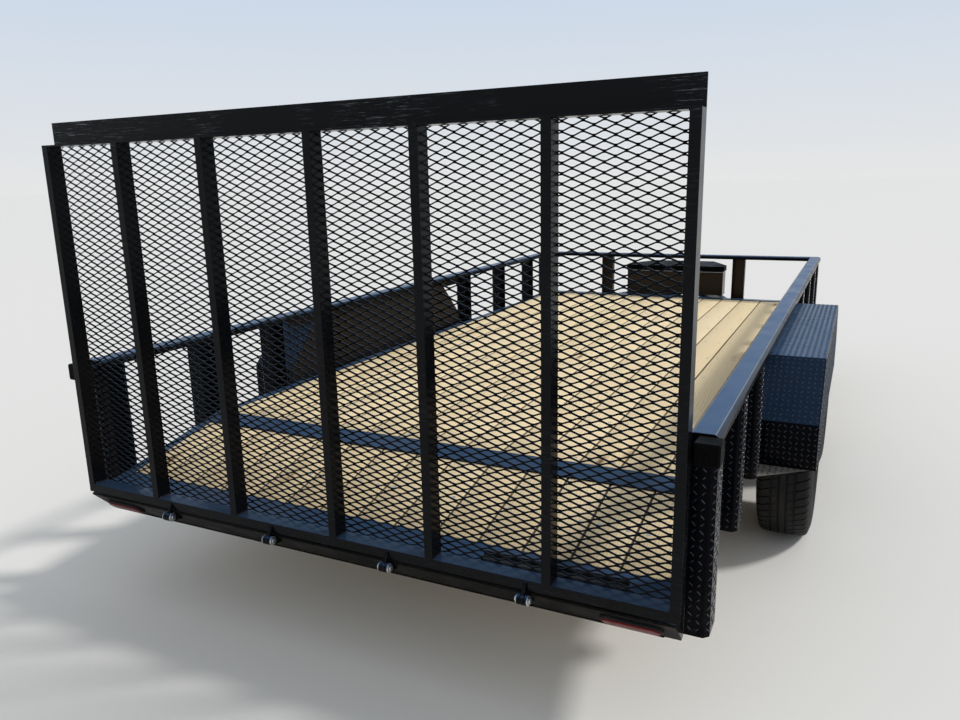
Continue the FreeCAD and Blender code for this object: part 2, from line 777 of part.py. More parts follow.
def coupler():
    """Ball coupler: open channel body, round nose with its socket, wings and latch."""
    z_top = DECK_H - 4.0
    z_low = z_top - COUPLER_H
    z_nose = z_low + COUPLER_H * 0.83
    rear = COUPLER_Y - COUPLER_L + 60.0
    half = COUPLER_W / 2.0
    ball_r = BALL_D / 2.0 + 0.6
    ball_z = z_low + 22.0
    slope_y = COUPLER_Y - 70.0
    side = [(rear, z_low), (COUPLER_Y, z_low), (COUPLER_Y, z_nose), (slope_y, z_top), (rear, z_top)]
    body = side_prism(side, -half, half)
    nose_h = COUPLER_H * 0.5
    nose = cylinder(0, COUPLER_Y, z_low, V(0, 0, 1), NOSE_L, nose_h)
    dome = Part.makeCone(NOSE_L, NOSE_L * 0.68, z_nose - z_low - nose_h, V(0, COUPLER_Y, z_low + nose_h))
    room = half - COUPLER_T
    pocket = box(-room, room, rear - 1.0, COUPLER_Y - NOSE_L, z_low - 1.0, z_top - COUPLER_T)
    crown = Part.makeCone(ball_r, ball_r * 0.5, 20.0, V(0, COUPLER_Y, ball_z))
    mouth = cylinder(0, COUPLER_Y, z_low - 1.0, V(0, 0, 1), ball_r, ball_z - z_low + 1.0)
    lean = (TONGUE_SPREAD - TONGUE_NECK / 2.0) / (rear - DECK_LEN)
    wing_t = COUPLER_T * math.hypot(1.0, lean)
    inner_x = TONGUE_NECK / 2.0
    wing = plan_prism(
        [
            (inner_x + WING_L * lean, rear - WING_L),
            (inner_x, rear),
            (inner_x, rear + 12.0),
            (inner_x + wing_t, rear + 12.0),
            (inner_x + wing_t, rear),
            (inner_x + wing_t + WING_L * lean, rear - WING_L),
        ],
        z_low,
        z_top,
    )
    latch = box(-14.0, 14.0, slope_y - 50.0, slope_y - 4.0, z_top, z_top + 16.0)
    path = [(slope_y - 12.0, z_top + 16.0), (slope_y - 60.0, z_top + 34.0), (slope_y - LEVER_L, z_top + 34.0)]
    lever = side_prism(bent(path, COUPLER_T), -11.0, 11.0)
    solid = fuse([body, nose, dome, latch, lever] + both(wing))
    return solid.cut(pocket).cut(crown).cut(mouth)


def jack_tube():
    """Outer tube of the tongue jack with its mounting plate and cap."""
    low = FRAME_BOTTOM - 40.0
    tube = cylinder(0, JACK_Y, low, V(0, 0, 1), JACK_D / 2.0, JACK_TOP_Z - low)
    bore_r = JACK_D / 2.0 - JACK_T
    bore = cylinder(0, JACK_Y, low - 1.0, V(0, 0, 1), bore_r, JACK_TOP_Z - low - JACK_CAP + 1.0)
    plate = box(-95.0, 95.0, JACK_Y - 60.0, JACK_Y + 60.0, DECK_H, DECK_H + 8.0)
    gear = box(0.0, JACK_GEAR_X, JACK_Y - 22.0, JACK_Y + 22.0, JACK_TOP_Z - 66.0, JACK_TOP_Z - 10.0)
    return fuse([tube, plate, gear]).cut(bore)


def jack_crank():
    """Side crank of the jack, hanging from its gear housing."""
    z = JACK_TOP_Z - 38.0
    arm_x = JACK_GEAR_X + 26.0
    shaft = cylinder(JACK_GEAR_X, JACK_Y, z, V(1, 0, 0), 8.0, 30.0)
    arm = box(arm_x, arm_x + 8.0, JACK_Y - 11.0, JACK_Y + 11.0, z - CRANK_R - 10.0, z + 11.0)
    grip = cylinder(arm_x + 4.0, JACK_Y, z - CRANK_R, V(1, 0, 0), 11.0, 84.0)
    return fuse([shaft, arm, grip])


def jack_leg():
    """Inner tube of the jack with its foot on the ground."""
    radius = JACK_D / 2.0 - JACK_T - JACK_LEG_CLEAR
    top = JACK_TOP_Z - JACK_CAP - JACK_TRAVEL - 6.0
    leg = cylinder(0, JACK_Y, GROUND_Z + 6.0, V(0, 0, 1), radius, top - GROUND_Z - 6.0)
    foot = box(-75.0, 75.0, JACK_Y - 65.0, JACK_Y + 65.0, GROUND_Z, GROUND_Z + 6.0)
    return fuse([leg, foot])


def box_outline(grow):
    """Plan of the toolbox, wider at the back, grown outwards."""
    y0 = DECK_LEN + BOX_Y - grow
    y1 = DECK_LEN + BOX_Y + BOX_LEN + grow
    wide = BOX_W / 2.0 + grow
    slim = BOX_FRONT_W / 2.0 + grow
    bend = y0 + BOX_SIDE_L
    return [(-wide, y0), (wide, y0), (wide, bend), (slim, y1), (-slim, y1), (-wide, bend)]


def lid_hinge():
    """Place of the lid's hinge line as (y, z)."""
    return DECK_LEN + BOX_Y - LID_LAP - BOX_T - LID_PIN_BACK, DECK_H + BOX_H - LID_H


def knuckle(start, length):
    """Hinge knuckle on the lid's hinge line from start, to the right of the middle."""
    y, z = lid_hinge()
    return cylinder(start, y, z, V(1, 0, 0), KNUCKLE_R, length)


def toolbox_body():
    """Open topped sheet box on the tongue, with the fixed hinge leaves."""
    z0 = DECK_H
    shell = plan_prism(box_outline(0.0), z0, z0 + BOX_H)
    hollow = plan_prism(box_outline(-BOX_T), z0 + BOX_T, z0 + BOX_H + 1.0)
    y, z = lid_hinge()
    start = BOX_W / 4.0
    end = start + KNUCKLE_L
    leaf_plate = box(start, end, y - BOX_T / 2.0, DECK_LEN + BOX_Y, z - 40.0, z - KNUCKLE_R + 1.0)
    foot = box(start, end, y - BOX_T / 2.0, y + BOX_T / 2.0, z - 20.0, z)
    leaves = both(fuse([leaf_plate, foot, knuckle(start, KNUCKLE_L)]))
    return fuse([shell.cut(hollow)] + leaves)


def toolbox_lid():
    """Lid that laps over the box, with its own hinge knuckles."""
    z0 = DECK_H + BOX_H
    skirt = plan_prism(box_outline(LID_LAP + BOX_T), z0 - LID_H, z0 + 0.5 + BOX_T)
    hollow = plan_prism(box_outline(LID_LAP), z0 - LID_H - 1.0, z0 + 0.5)
    y, z = lid_hinge()
    start = BOX_W / 4.0 + KNUCKLE_L + KNUCKLE_GAP
    tab = box(start, start + KNUCKLE_L, y, y + LID_PIN_BACK + BOX_T / 2.0, z, z + KNUCKLE_R)
    return fuse([skirt.cut(hollow)] + both(fuse([tab, knuckle(start, KNUCKLE_L)])))


def upright_rows():
    """Centre of each gate upright across the gate."""
    return [place * (GATE_HALF_W - TUBE_W / 2.0) for place in UPRIGHT_PLACES]


def foot_leg():
    """Short rear leg of the gate's bottom angle, open where the hinge arms pass."""
    low = GATE_Z - FOOT_LEG_H
    leg = box(-GATE_HALF_W, GATE_HALF_W, 0.0, GATE_ANGLE_T, low, GATE_Z)
    half = HINGE_TAB_T / 2.0 + 1.0
    for x in hinge_rows():
        for s in (-1.0, 1.0):
            leg = leg.cut(box(s * x - half, s * x + half, -1.0, TUBE_D, low - 1.0, GATE_Z - GATE_ANGLE_T))
    return leg


def gate_frame():
    """Ramp gate frame: bottom angle, tube uprights, top angle and latch tabs."""
    low = GATE_Z
    high = GATE_Z + GATE_H - TOP_LEG_H
    shapes = [
        foot_leg(),
        box(-GATE_HALF_W, GATE_HALF_W, 0.0, TUBE_D, low - GATE_ANGLE_T, low),
        box(-GATE_HALF_W, GATE_HALF_W, 0.0, TUBE_D, high, high + GATE_ANGLE_T),
        box(-GATE_HALF_W, GATE_HALF_W, TUBE_D - GATE_ANGLE_T, TUBE_D, high, high + TOP_LEG_H),
    ]
    for x in upright_rows():
        outer = box(x - TUBE_W / 2.0, x + TUBE_W / 2.0, 0.0, TUBE_D, low, high)
        hollow = box(
            x - TUBE_W / 2.0 + TUBE_T,
            x + TUBE_W / 2.0 - TUBE_T,
            TUBE_T,
            TUBE_D - TUBE_T,
            low,
            high,
        )
        shapes.append(outer.cut(hollow))
    edge = GATE_HALF_W - 7.0
    tab_top = RAIL_H - TAB_BELOW_RAIL
    tab = box(edge - TAB_T, edge, TUBE_D, RAIL_REAR_Y - LATCH_CLEAR, tab_top - TAB_H, tab_top)
    return fuse(shapes + both(tab))


def hinge_rows():
    """Centres of the hinges on the right half of the gate."""
    return [place * GATE_HALF_W for place in HINGE_PLACES]


def gate_hinges():
    """Tabs under the gate that turn on the hinge pins."""
    low = GATE_Z - GATE_ANGLE_T
    bore_r = HINGE_PIN_D / 2.0 + HINGE_CLEAR
    shapes = []
    for x in hinge_rows():
        arm = side_prism(
            [
                (HINGE_Y - HINGE_EYE_R + 2.0, HINGE_Z),
                (0.0, low),
                (24.0, low),
                (6.0, low - 7.0),
                (-5.0, low - 16.0),
                (-3.0, HINGE_Z),
            ],
            x - HINGE_TAB_T / 2.0,
            x + HINGE_TAB_T / 2.0,
        )
        eye = at(disc(0.0, HINGE_TAB_T, HINGE_EYE_R, EYE_SIDES), x - HINGE_TAB_T / 2.0, HINGE_Y, HINGE_Z)
        bore = cylinder(x - HINGE_TAB_T, HINGE_Y, HINGE_Z, V(1, 0, 0), bore_r, 2.0 * HINGE_TAB_T)
        shapes += both(fuse([arm, eye]).cut(bore))
    return Part.makeCompound(shapes)


def hinge_lugs():
    """Lug pairs on the tail, each with its pin."""
    rear = under_deck(0.0, 0.0) - APRON_T
    reach = HINGE_TAB_T / 2.0 + LUG_GAP
    shapes = []
    for x in hinge_rows():
        parts = []
        for s in (-1.0, 1.0):
            x0 = x + s * reach - (LUG_T if s < 0 else 0.0)
            plate = side_prism(
                [
                    (HINGE_Y, HINGE_Z + HINGE_EYE_R),
                    (0.0, rear),
                    (30.0, rear - 30.0),
                    (HINGE_Y, HINGE_Z - HINGE_EYE_R),
                ],
                x0,
                x0 + LUG_T,
            )
            eye = at(disc(0.0, LUG_T, HINGE_EYE_R, EYE_SIDES), x0, HINGE_Y, HINGE_Z)
            parts += [plate, eye]
        pin_half = reach + LUG_T + 5.0
        parts.append(cylinder(x - pin_half, HINGE_Y, HINGE_Z, V(1, 0, 0), HINGE_PIN_D / 2.0, 2.0 * pin_half))
        shapes += both(fuse(parts))
    return Part.makeCompound(shapes)


def strands(y0):
    """Parallel flat strands of the mesh, rising to the right, clipped to the gate."""
    edge = GATE_HALF_W - MESH_EDGE
    low = GATE_Z - GATE_ANGLE_T
    high = GATE_Z + GATE_H - TOP_LEG_H + 20.0
    window = box(-edge, edge, y0, y0 + STRAND_T, low, high)
    run = (high - low) * MESH_LONG / MESH_SHORT
    wide = STRAND_W / math.sin(math.atan2(MESH_SHORT, MESH_LONG)) / 2.0
    count = int((2.0 * edge + run) / MESH_LONG)
    shapes = []
    for i in range(count):
        foot = -edge - run + (i + 0.5) * MESH_LONG
        head = foot + run
        outline = [(foot - wide, low), (foot + wide, low), (head + wide, high), (head - wide, high)]
        shapes.append(end_prism(outline, y0, y0 + STRAND_T).common(window))
    return shapes


def gate_mesh():
    """Expanded metal as two crossing layers of strands on the front of the uprights."""
    rising = strands(TUBE_D)
    falling = [mirrored(strand) for strand in strands(TUBE_D + STRAND_T + STRAND_GAP)]
    return Part.makeCompound(rising + falling)


def gate_latches():
    """Latch housings on the rear ends of the side rails, each with its lift rod."""
    x0 = GATE_HALF_W + LATCH_CLEAR
    top = RAIL_H - LATCH_BELOW_RAIL
    rear = RAIL_REAR_Y - LATCH_W
    low = top - LATCH_H
    side = [(rear + 14.0, low), (RAIL_REAR_Y, low), (RAIL_REAR_Y, top), (rear, top), (rear, low + 20.0)]
    housing = side_prism(side, x0, x0 + LATCH_W)
    rod = cylinder(x0 + LATCH_W / 2.0, rear + 22.0, top, V(0, 0, 1), LATCH_ROD_D / 2.0, LATCH_ROD_UP)
    return Part.makeCompound(both(fuse([housing, rod])))


def stadium(length, width, sides):
    """Closed outline of a slot shape, each end an arc of flat sides."""
    radius = width / 2.0
    straight = length / 2.0 - radius
    points = []
    for s in (1.0, -1.0):
        for i in range(sides + 1):
            turn = math.pi * (i / sides - 0.5)
            points.append((s * (straight + radius * math.cos(turn)), s * radius * math.sin(turn)))
    return points


def lamps():
    """Oval tail lamps on the sloped underside of the tail."""
    lens = plan_prism(stadium(LAMP_L, LAMP_W, LAMP_SIDES), 0.0, LAMP_T).rotated(V(0, 0, 0), V(1, 0, 0), 135.0)
    half = (FRAME_D - APRON_T) / (1.0 + math.tan(SLOPE)) / 2.0
    low = under_deck(0.0, 0.0) - APRON_T
    return Part.makeCompound(both(at(lens, DECK_HALF_W * LAMP_PLACE, half, low - half)))


def main():
    os.makedirs("parts", exist_ok=True)
    rail = side_rail()
    frame = side_frame()
    posts = side_posts()
    guard = fender()
    beam = tongue_beam()
    nodes = {
        "side_frame_right": frame,
        "side_frame_left": mirrored(frame),
        "front_header": front_header(),
        "crossmembers": crossmembers(),
        "tail_plate": tail_plate(),
        "deck_planks": deck_planks(),
        "deck_strips": deck_strips(),
        "side_rail_right": rail,
        "side_rail_left": mirrored(rail),
        "front_rail": front_rail(),
        "side_posts_right": posts,
        "side_posts_left": mirrored(posts),
        "front_posts": front_posts(),
        "fender_right": guard,
        "fender_left": mirrored(guard),
        "leaf_springs": leaf_springs(),
        "spring_hangers": spring_hangers(),
        "tongue_right": beam,
        "tongue_left": mirrored(beam),
        "coupler": coupler(),
        "jack_tube": jack_tube(),
        "jack_crank": jack_crank(),
        "jack_leg": jack_leg(),
        "toolbox_body": toolbox_body(),
        "toolbox_lid": toolbox_lid(),
        "gate_frame": gate_frame(),
        "gate_mesh": gate_mesh(),
        "gate_hinges": gate_hinges(),
        "gate_latches": gate_latches(),
        "hinge_lugs": hinge_lugs(),
        "tail_lamps": lamps(),
    }
    for row, y in zip(("rear", "front"), AXLE_Y):
        nodes["axle_" + row] = axle(y)
        for name, side in (("left", -1), ("right", 1)):
            x = side * TRACK_HALF
            nodes["tyre_%s_%s" % (row, name)] = tyre(x, y)
            nodes["rim_%s_%s" % (row, name)] = rim(x, y, side)
            nodes["hub_%s_%s" % (row, name)] = hub(x, y, side)
    for name, shape in nodes.items():
        placed = at(shape, y=-ORIGIN_Y)
        placed.exportStep("parts/%s.step" % name)
        print(name, len(placed.Solids), placed.isValid(), round(placed.Volume / 1e6, 3))
    lid_y, lid_z = lid_hinge()
    print("lid hinge", lid_y - ORIGIN_Y, lid_z)
    print("hinge", HINGE_Y - ORIGIN_Y, HINGE_Z, "axles", [y - ORIGIN_Y for y in AXLE_Y], AXLE_Z)
    print("coupler", COUPLER_Y - ORIGIN_Y, "jack", JACK_Y - ORIGIN_Y, "box", DECK_LEN + BOX_Y - ORIGIN_Y)


main()
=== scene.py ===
import json
import math
import random

import bmesh
import bpy
from mathutils import Matrix, Vector


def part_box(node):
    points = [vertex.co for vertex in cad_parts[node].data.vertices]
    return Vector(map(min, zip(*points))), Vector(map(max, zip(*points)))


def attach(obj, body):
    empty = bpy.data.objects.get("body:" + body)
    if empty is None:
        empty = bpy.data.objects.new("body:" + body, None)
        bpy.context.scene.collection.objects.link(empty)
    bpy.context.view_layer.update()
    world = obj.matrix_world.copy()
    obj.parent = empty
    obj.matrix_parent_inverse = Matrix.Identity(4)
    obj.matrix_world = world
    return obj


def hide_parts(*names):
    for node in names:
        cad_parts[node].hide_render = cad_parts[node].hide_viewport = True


# A tandem axle utility trailer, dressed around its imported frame. Points are given in mm in
# the deck's own frame, with Y from the rear edge of the tail, and spot() turns them into
# metres of the model.

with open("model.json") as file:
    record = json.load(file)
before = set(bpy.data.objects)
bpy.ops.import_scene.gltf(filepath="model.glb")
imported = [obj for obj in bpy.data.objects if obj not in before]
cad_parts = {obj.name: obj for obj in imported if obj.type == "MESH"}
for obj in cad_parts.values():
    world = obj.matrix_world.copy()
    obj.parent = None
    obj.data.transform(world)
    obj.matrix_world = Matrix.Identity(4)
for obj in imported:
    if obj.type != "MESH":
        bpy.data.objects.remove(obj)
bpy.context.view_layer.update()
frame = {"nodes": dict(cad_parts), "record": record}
nodes = frame["nodes"]
body_of = {}
for body_name, members in frame["record"]["behaviour"]["bodies"].items():
    for member in members:
        body_of[member] = body_name

MM = 0.001
ORIGIN_Y = 2865.5
DECK_HALF_W = 1020
DECK_LEN = 4497
DECK_H = 515
TAIL_LEN = 618
TAIL_DROP = 128
FRAME_D = 101.6
TAIL_LEAN = math.atan(TAIL_DROP / TAIL_LEN)
CLEAR_X = 979
HEADER_Y = 4456
BOARD_COUNT = 14
BOARD_GAP = 4
BOARD_PLAY = 0.5
BOARD_T = 38
BOARD_W = (2 * (CLEAR_X - BOARD_PLAY) - (BOARD_COUNT - 1) * BOARD_GAP) / BOARD_COUNT
BOARD_EDGE = 2
BOARD_WANDER = 0.7
TAIL_BOARD_Y = 151
BEND_GAP = 9
CROSSMEMBER_Y = 669
CROSSMEMBER_STEP = 418.9
CROSSMEMBER_COUNT = 9
TAIL_CROSSMEMBER_Y = 326
SCREW_HALF = 41
RAIL_H = 845
RAIL_X = 1049
RAIL_HALF_W = 38
RAIL_BEVEL = 11
RAIL_T = 3.5
RAIL_REAR_Y = 90
RAIL_FRONT_Y = 4564
POST_DEPTH = 63
POST_W = 104
POST_BEVEL = 14
POST_TOP = 832.5
SIDE_POSTS = (145, 585.3, 1010, 2935, 3499.3, 4050.2, 4420)
FRONT_POST_X = 518.2
FRONT_POST_W = 92
FENDER_IN = 1046
FENDER_OUT = 1266
FENDER_Y0 = 1128
FENDER_Y1 = 2848
FENDER_TOP = 778
FENDER_SHOULDER = 580
FENDER_BOTTOM = 413.4
FENDER_SLANT = 200
GUSSET_L = 160
GUSSET_SHORT = 20
GATE_HALF_W = 1030
GATE_Z = 421
GATE_TOP = 1639
GATE_FACE_Y = 50.8
TOP_LEG_H = 76
TUBE_W = 25.4
UPRIGHT_PLACES = (-1, -0.69, -0.354, 0.021, 0.339, 0.678, 1)
HINGE_Y = -14
HINGE_Z = 373
HINGE_X = (210.1, 632)
AXLE_Y = (1556, 2420)
AXLE_Z = 344
TRACK_HALF = 1156
SPRING_X = 997
JACK_Y = 5372
TREAD_PITCH = 20
LUG_H = 1.4
LUG_HALF_L = TREAD_PITCH * 0.40
LUG_HALF_W = TREAD_PITCH * 0.12

rng = random.Random(7)


def spot(x, y, z):
    """A point of the deck's frame in mm as a point of the model."""
    return Vector((x, y - ORIGIN_Y, z)) * MM


def deck_top(y):
    """Height of the deck's top, which slopes down over the tail."""
    return DECK_H - max(0, TAIL_LEN - y) * TAIL_DROP / TAIL_LEN


# Meshes


def circle(sides):
    """Cosine and sine of each of a number of even turns."""
    turns = [math.tau * j / sides for j in range(sides)]
    return [(math.cos(turn), math.sin(turn)) for turn in turns]


class Shape:
    """Points in metres and faces that pile up into one mesh."""

    def __init__(self):
        self.points = []
        self.faces = []
        self.tones = []
        self.tone = 0.0

    def add(self, points, faces):
        first = len(self.points)
        self.points += points
        self.faces += [[first + i for i in face] for face in faces]
        self.tones += [self.tone] * len(points)

    def loft(self, rings, closed=False):
        """Skin over rings of equal length, with end caps or closed on itself."""
        count = len(rings[0])
        faces = []
        spans = len(rings) if closed else len(rings) - 1
        for i in range(spans):
            a = i * count
            b = (i + 1) % len(rings) * count
            for j in range(count):
                k = (j + 1) % count
                faces.append([a + j, a + k, b + k, b + j])
        if not closed:
            faces.append(list(range(count))[::-1])
            faces.append([(len(rings) - 1) * count + j for j in range(count)])
        self.add([p for ring in rings for p in ring], faces)

    def tube(self, line, radius, sides):
        """Round bar along a line of points in metres, radius in metres or one for each point."""
        rings = []
        side = None
        for i, point in enumerate(line):
            ahead = line[min(i + 1, len(line) - 1)] - line[max(i - 1, 0)]
            ahead.normalize()
            if side is None:
                side = ahead.orthogonal().normalized()
            side = (side - ahead * side.dot(ahead)).normalized()
            other = ahead.cross(side)
            r = radius[i] if isinstance(radius, (list, tuple)) else radius
            rings.append([point + (side * c + other * s) * r for c, s in circle(sides)])
        self.loft(rings)

    def turned(self, centre, axis, profile, sides):
        """Solid of revolution from (along, radius) in mm about an axis through centre."""
        axis = Vector(axis).normalized()
        side = axis.orthogonal().normalized()
        other = axis.cross(side)
        outs = [side * c + other * s for c, s in circle(sides)]
        self.loft([[centre + (axis * along + out * r) * MM for out in outs] for along, r in profile])

    def block(self, low, high, chamfer):
        """Box between two corners in mm with all its edges chamfered."""
        c = chamfer
        x0, y0, z0 = low
        x1, y1, z1 = high
        rings = []
        for x, inset in ((x0, c), (x0 + c, 0), (x1 - c, 0), (x1, c)):
            a0, a1 = y0 + inset, y1 - inset
            b0, b1 = z0 + inset, z1 - inset
            ring = [
                (a0 + c, b0), (a1 - c, b0), (a1, b0 + c), (a1, b1 - c),
                (a1 - c, b1), (a0 + c, b1), (a0, b1 - c), (a0, b0 + c),
            ]
            rings.append([spot(x, y, z) for y, z in ring])
        self.loft(rings)


def mesh_from(name, shape, angle=35):
    """Mesh of a shape, smooth but for edges sharper than the angle in degrees."""
    mesh = bpy.data.meshes.new(name)
    mesh.from_pydata([tuple(p) for p in shape.points], [], shape.faces)
    if any(shape.tones):
        tone = mesh.attributes.new("tone", "FLOAT", "POINT")
        tone.data.foreach_set("value", shape.tones)
    mesh.validate()
    bm = bmesh.new()
    bm.from_mesh(mesh)
    bmesh.ops.recalc_face_normals(bm, faces=bm.faces)
    bm.to_mesh(mesh)
    bm.free()
    mesh.shade_smooth()
    mesh.set_sharp_from_angle(angle=math.radians(angle))
    return mesh


def new_object(name, data):
    obj = bpy.data.objects.new(name, data)
    bpy.context.scene.collection.objects.link(obj)
    return obj


def dress(obj, material, body, hides=()):
    """Give an object its material and body, and the CAD nodes that it stands for."""
    obj.data.materials.clear()
    obj.data.materials.append(material)
    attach(obj, body)
    if hides:
        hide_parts(*hides)


def piece(name, shape, material, body="root", hides=(), angle=35):
    obj = new_object(name, mesh_from(name, shape, angle))
    dress(obj, material, body, hides)


def soften(node, material, width=1.5, segments=2):
    """A copy of a CAD node with its edges rounded, which the node makes way for."""
    bm = bmesh.new()
    bm.from_mesh(nodes[node].data)
    bmesh.ops.remove_doubles(bm, verts=bm.verts, dist=0.00002)
    bmesh.ops.dissolve_limit(bm, angle_limit=math.radians(0.5), verts=bm.verts, edges=bm.edges)
    bm.verts.index_update()
    shape = Shape()
    shape.add([v.co.copy() for v in bm.verts], [[v.index for v in f.verts] for f in bm.faces])
    bm.free()
    obj = new_object(node + "_finish", mesh_from(node + "_finish", shape))
    bevel = obj.modifiers.new("bevel", "BEVEL")
    bevel.width = width * MM
    bevel.segments = segments
    bevel.limit_method = "ANGLE"
    bevel.angle_limit = math.radians(35)
    bevel.harden_normals = True
    dress(obj, material, body_of[node], [node])


# Materials

EVERYWHERE = -9
DUST = (0.17, 0.15, 0.125)
SIDE_SHEEN_BROWN = (0.04, 0.034, 0.029)
PALE_DUST_AND_LIGHT = (0.22, 0.21, 0.19)
PAINTED_SKY_REFLECTION = (0.045, 0.11, 0.235)
PAINTED_BEND_HIGHLIGHT = (0.30, 0.29, 0.26)
SCRATCH = (0.14, 0.15, 0.17)
RUST = (0.2, 0.1, 0.05)


def feed(tree, socket, value):
    """Link a value to a socket, or set it there."""
    if isinstance(value, bpy.types.NodeSocket):
        tree.links.new(value, socket)
    elif socket.type == "RGBA":
        socket.default_value = (*value, 1)
    else:
        socket.default_value = value


def add_node(tree, kind, inputs=None, **settings):
    item = tree.nodes.new("ShaderNode" + kind)
    for key, value in settings.items():
        setattr(item, key, value)
    for key, value in (inputs or {}).items():
        feed(tree, item.inputs[key], value)
    return item


def calc(tree, operation, a, b, clamp=False):
    item = add_node(tree, "Math", {0: a, 1: b}, operation=operation, use_clamp=clamp)
    return item.outputs[0]


def times(tree, a, b):
    return calc(tree, "MULTIPLY", a, b)


def blend(tree, factor, a, b):
    return add_node(tree, "Mix", {0: factor, 6: a, 7: b}, data_type="RGBA").outputs[2]


def remap(tree, value, low, high, to_low=0, to_high=1):
    inputs = {"Value": value, "From Min": low, "From Max": high, "To Min": to_low, "To Max": to_high}
    return add_node(tree, "MapRange", inputs, clamp=True).outputs[0]


def noise(tree, vector, scale, detail=3, rough=0.5):
    inputs = {"Vector": vector, "Scale": scale, "Detail": detail, "Roughness": rough}
    return add_node(tree, "TexNoise", inputs).outputs["Fac"]


def stretched(tree, vector, scale):
    return add_node(tree, "VectorMath", {0: vector, 1: scale}, operation="MULTIPLY").outputs[0]


def bump(tree, height, strength, distance, normal=None):
    inputs = {"Height": height, "Strength": strength, "Distance": distance}
    if normal:
        inputs["Normal"] = normal
    return add_node(tree, "Bump", inputs).outputs[0]


def new_material(name):
    material = bpy.data.materials.new(name)
    material.use_nodes = True
    tree = material.node_tree
    shader = tree.nodes["Principled BSDF"]
    place = add_node(tree, "TexCoord").outputs["Object"]
    return material, tree, shader, place


def finish(tree, shader, **sockets):
    """Feed the shader's sockets, named with underscores for spaces."""
    for key, value in sockets.items():
        feed(tree, shader.inputs[key.replace("_", " ")], value)


def part_of(tree, vector, axis):
    return add_node(tree, "SeparateXYZ", {0: vector}).outputs[axis]


def normal_part(tree, axis):
    """One coordinate of the surface normal."""
    return part_of(tree, add_node(tree, "NewGeometry").outputs["Normal"], axis)


def sideways(tree):
    """How far a face looks to the left or right, from 0 to 1."""
    return add_node(tree, "Math", {0: normal_part(tree, "X")}, operation="ABSOLUTE").outputs[0]


def paint(name, colour, rough=0.2, dust=0.18, peel=0.1, specular=0.08, sky=0, sky_from=EVERYWHERE,
          sky_ahead=EVERYWHERE, side_sheen=0, shelf_dust_and_light=0, bend_highlight=0, scratch=0):
    """Sprayed paint with orange peel, spots, and dust on what looks up.

    sky paints a blue sky reflection on upward faces, above the height sky_from and ahead of sky_ahead, in m.
    The sideways share paints a brownish sheen on faces that look sideways, a painted reflection of sunlit
    wood.
    The shelf share lays pale dust with painted light on upward faces below sky_from.
    The bend share paints a pale highlight along the rails' bends, and scratch marks the gate's top bar.
    """
    material, tree, shader, place = new_material(name)
    patches = noise(tree, place, 3.1, 5, 0.6)
    specks = noise(tree, place, 160, 4, 0.7)
    height = part_of(tree, place, "Z")
    facing = remap(tree, normal_part(tree, "Z"), 0.6, 1)
    film = times(tree, remap(tree, patches, 0.35, 0.75), facing)
    spots = remap(tree, specks, 0.68, 0.8, 0, dust)
    cover = calc(tree, "MAXIMUM", times(tree, film, dust), spots, True)
    low = times(tree, remap(tree, height, 0.5, 0.2), remap(tree, specks, 0.42, 0.7))
    cover = calc(tree, "MAXIMUM", cover, times(tree, low, dust), True)
    shade = blend(tree, remap(tree, patches, 0.3, 0.7), colour, [c * 1.6 for c in colour])
    # faces that look sideways get a brownish painted sheen, standing for sunlit wood reflected in the black
    # paint
    if side_sheen:
        side_sheen_share = remap(tree, sideways(tree), 0.85, 0.98, 0, side_sheen)
        shade = blend(tree, side_sheen_share, shade, SIDE_SHEEN_BROWN)
    if sky:
        above = remap(tree, height, sky_from, sky_from + 0.1)
        # upward faces below sky_from get pale dust together with painted light, which lifts their shade
        if shelf_dust_and_light:
            shelf = times(tree, facing, remap(tree, above, 0.3, 0.6, shelf_dust_and_light, 0))
            shade = blend(tree, shelf, shade, PALE_DUST_AND_LIGHT)
        # upward faces get a blue tint: a painted reflection of the sky
        sky_reflection = times(tree, facing, remap(tree, patches, 0.2, 0.6, 0.8 * sky, sky))
        sky_reflection = times(tree, sky_reflection, above)
        ahead = remap(tree, part_of(tree, place, "Y"), sky_ahead, sky_ahead + 0.02)
        shade = blend(tree, times(tree, sky_reflection, ahead), shade, PAINTED_SKY_REFLECTION)
    # the rails' rounded bends get a pale painted highlight
    if bend_highlight:
        lean = normal_part(tree, "Z")
        bend = times(tree, remap(tree, lean, 0.76, 0.88), remap(tree, lean, 0.985, 0.94))
        bend = times(tree, bend, remap(tree, patches, 0.25, 0.6, 0.5 * bend_highlight, bend_highlight))
        shade = blend(tree, bend, shade, PAINTED_BEND_HIGHLIGHT)
    shade = blend(tree, cover, shade, DUST)
    gloss = remap(tree, noise(tree, place, 9, 4, 0.6), 0.3, 0.7, rough * 0.75, rough * 1.35)
    gloss = calc(tree, "ADD", gloss, times(tree, cover, 0.6), True)
    if scratch:
        lines = noise(tree, stretched(tree, place, (0.7, 9, 14)), 22, 6, 0.75)
        where = remap(tree, noise(tree, place, 4, 2), 0.40, 0.60)
        worn = times(tree, remap(tree, lines, 0.56, 0.68), where)
        worn = times(tree, worn, remap(tree, height, 1.545, 1.56, 0.12 * scratch, scratch))
        shade = blend(tree, worn, shade, SCRATCH)
        gloss = calc(tree, "ADD", gloss, times(tree, worn, 0.3), True)
    normal = bump(tree, noise(tree, place, 260, 2), peel, 0.0006)
    normal = bump(tree, noise(tree, place, 14, 2), peel, 0.002, normal)
    finish(
        tree, shader, Base_Color=shade, Roughness=gloss, Normal=normal, Specular_IOR_Level=specular
    )
    return material


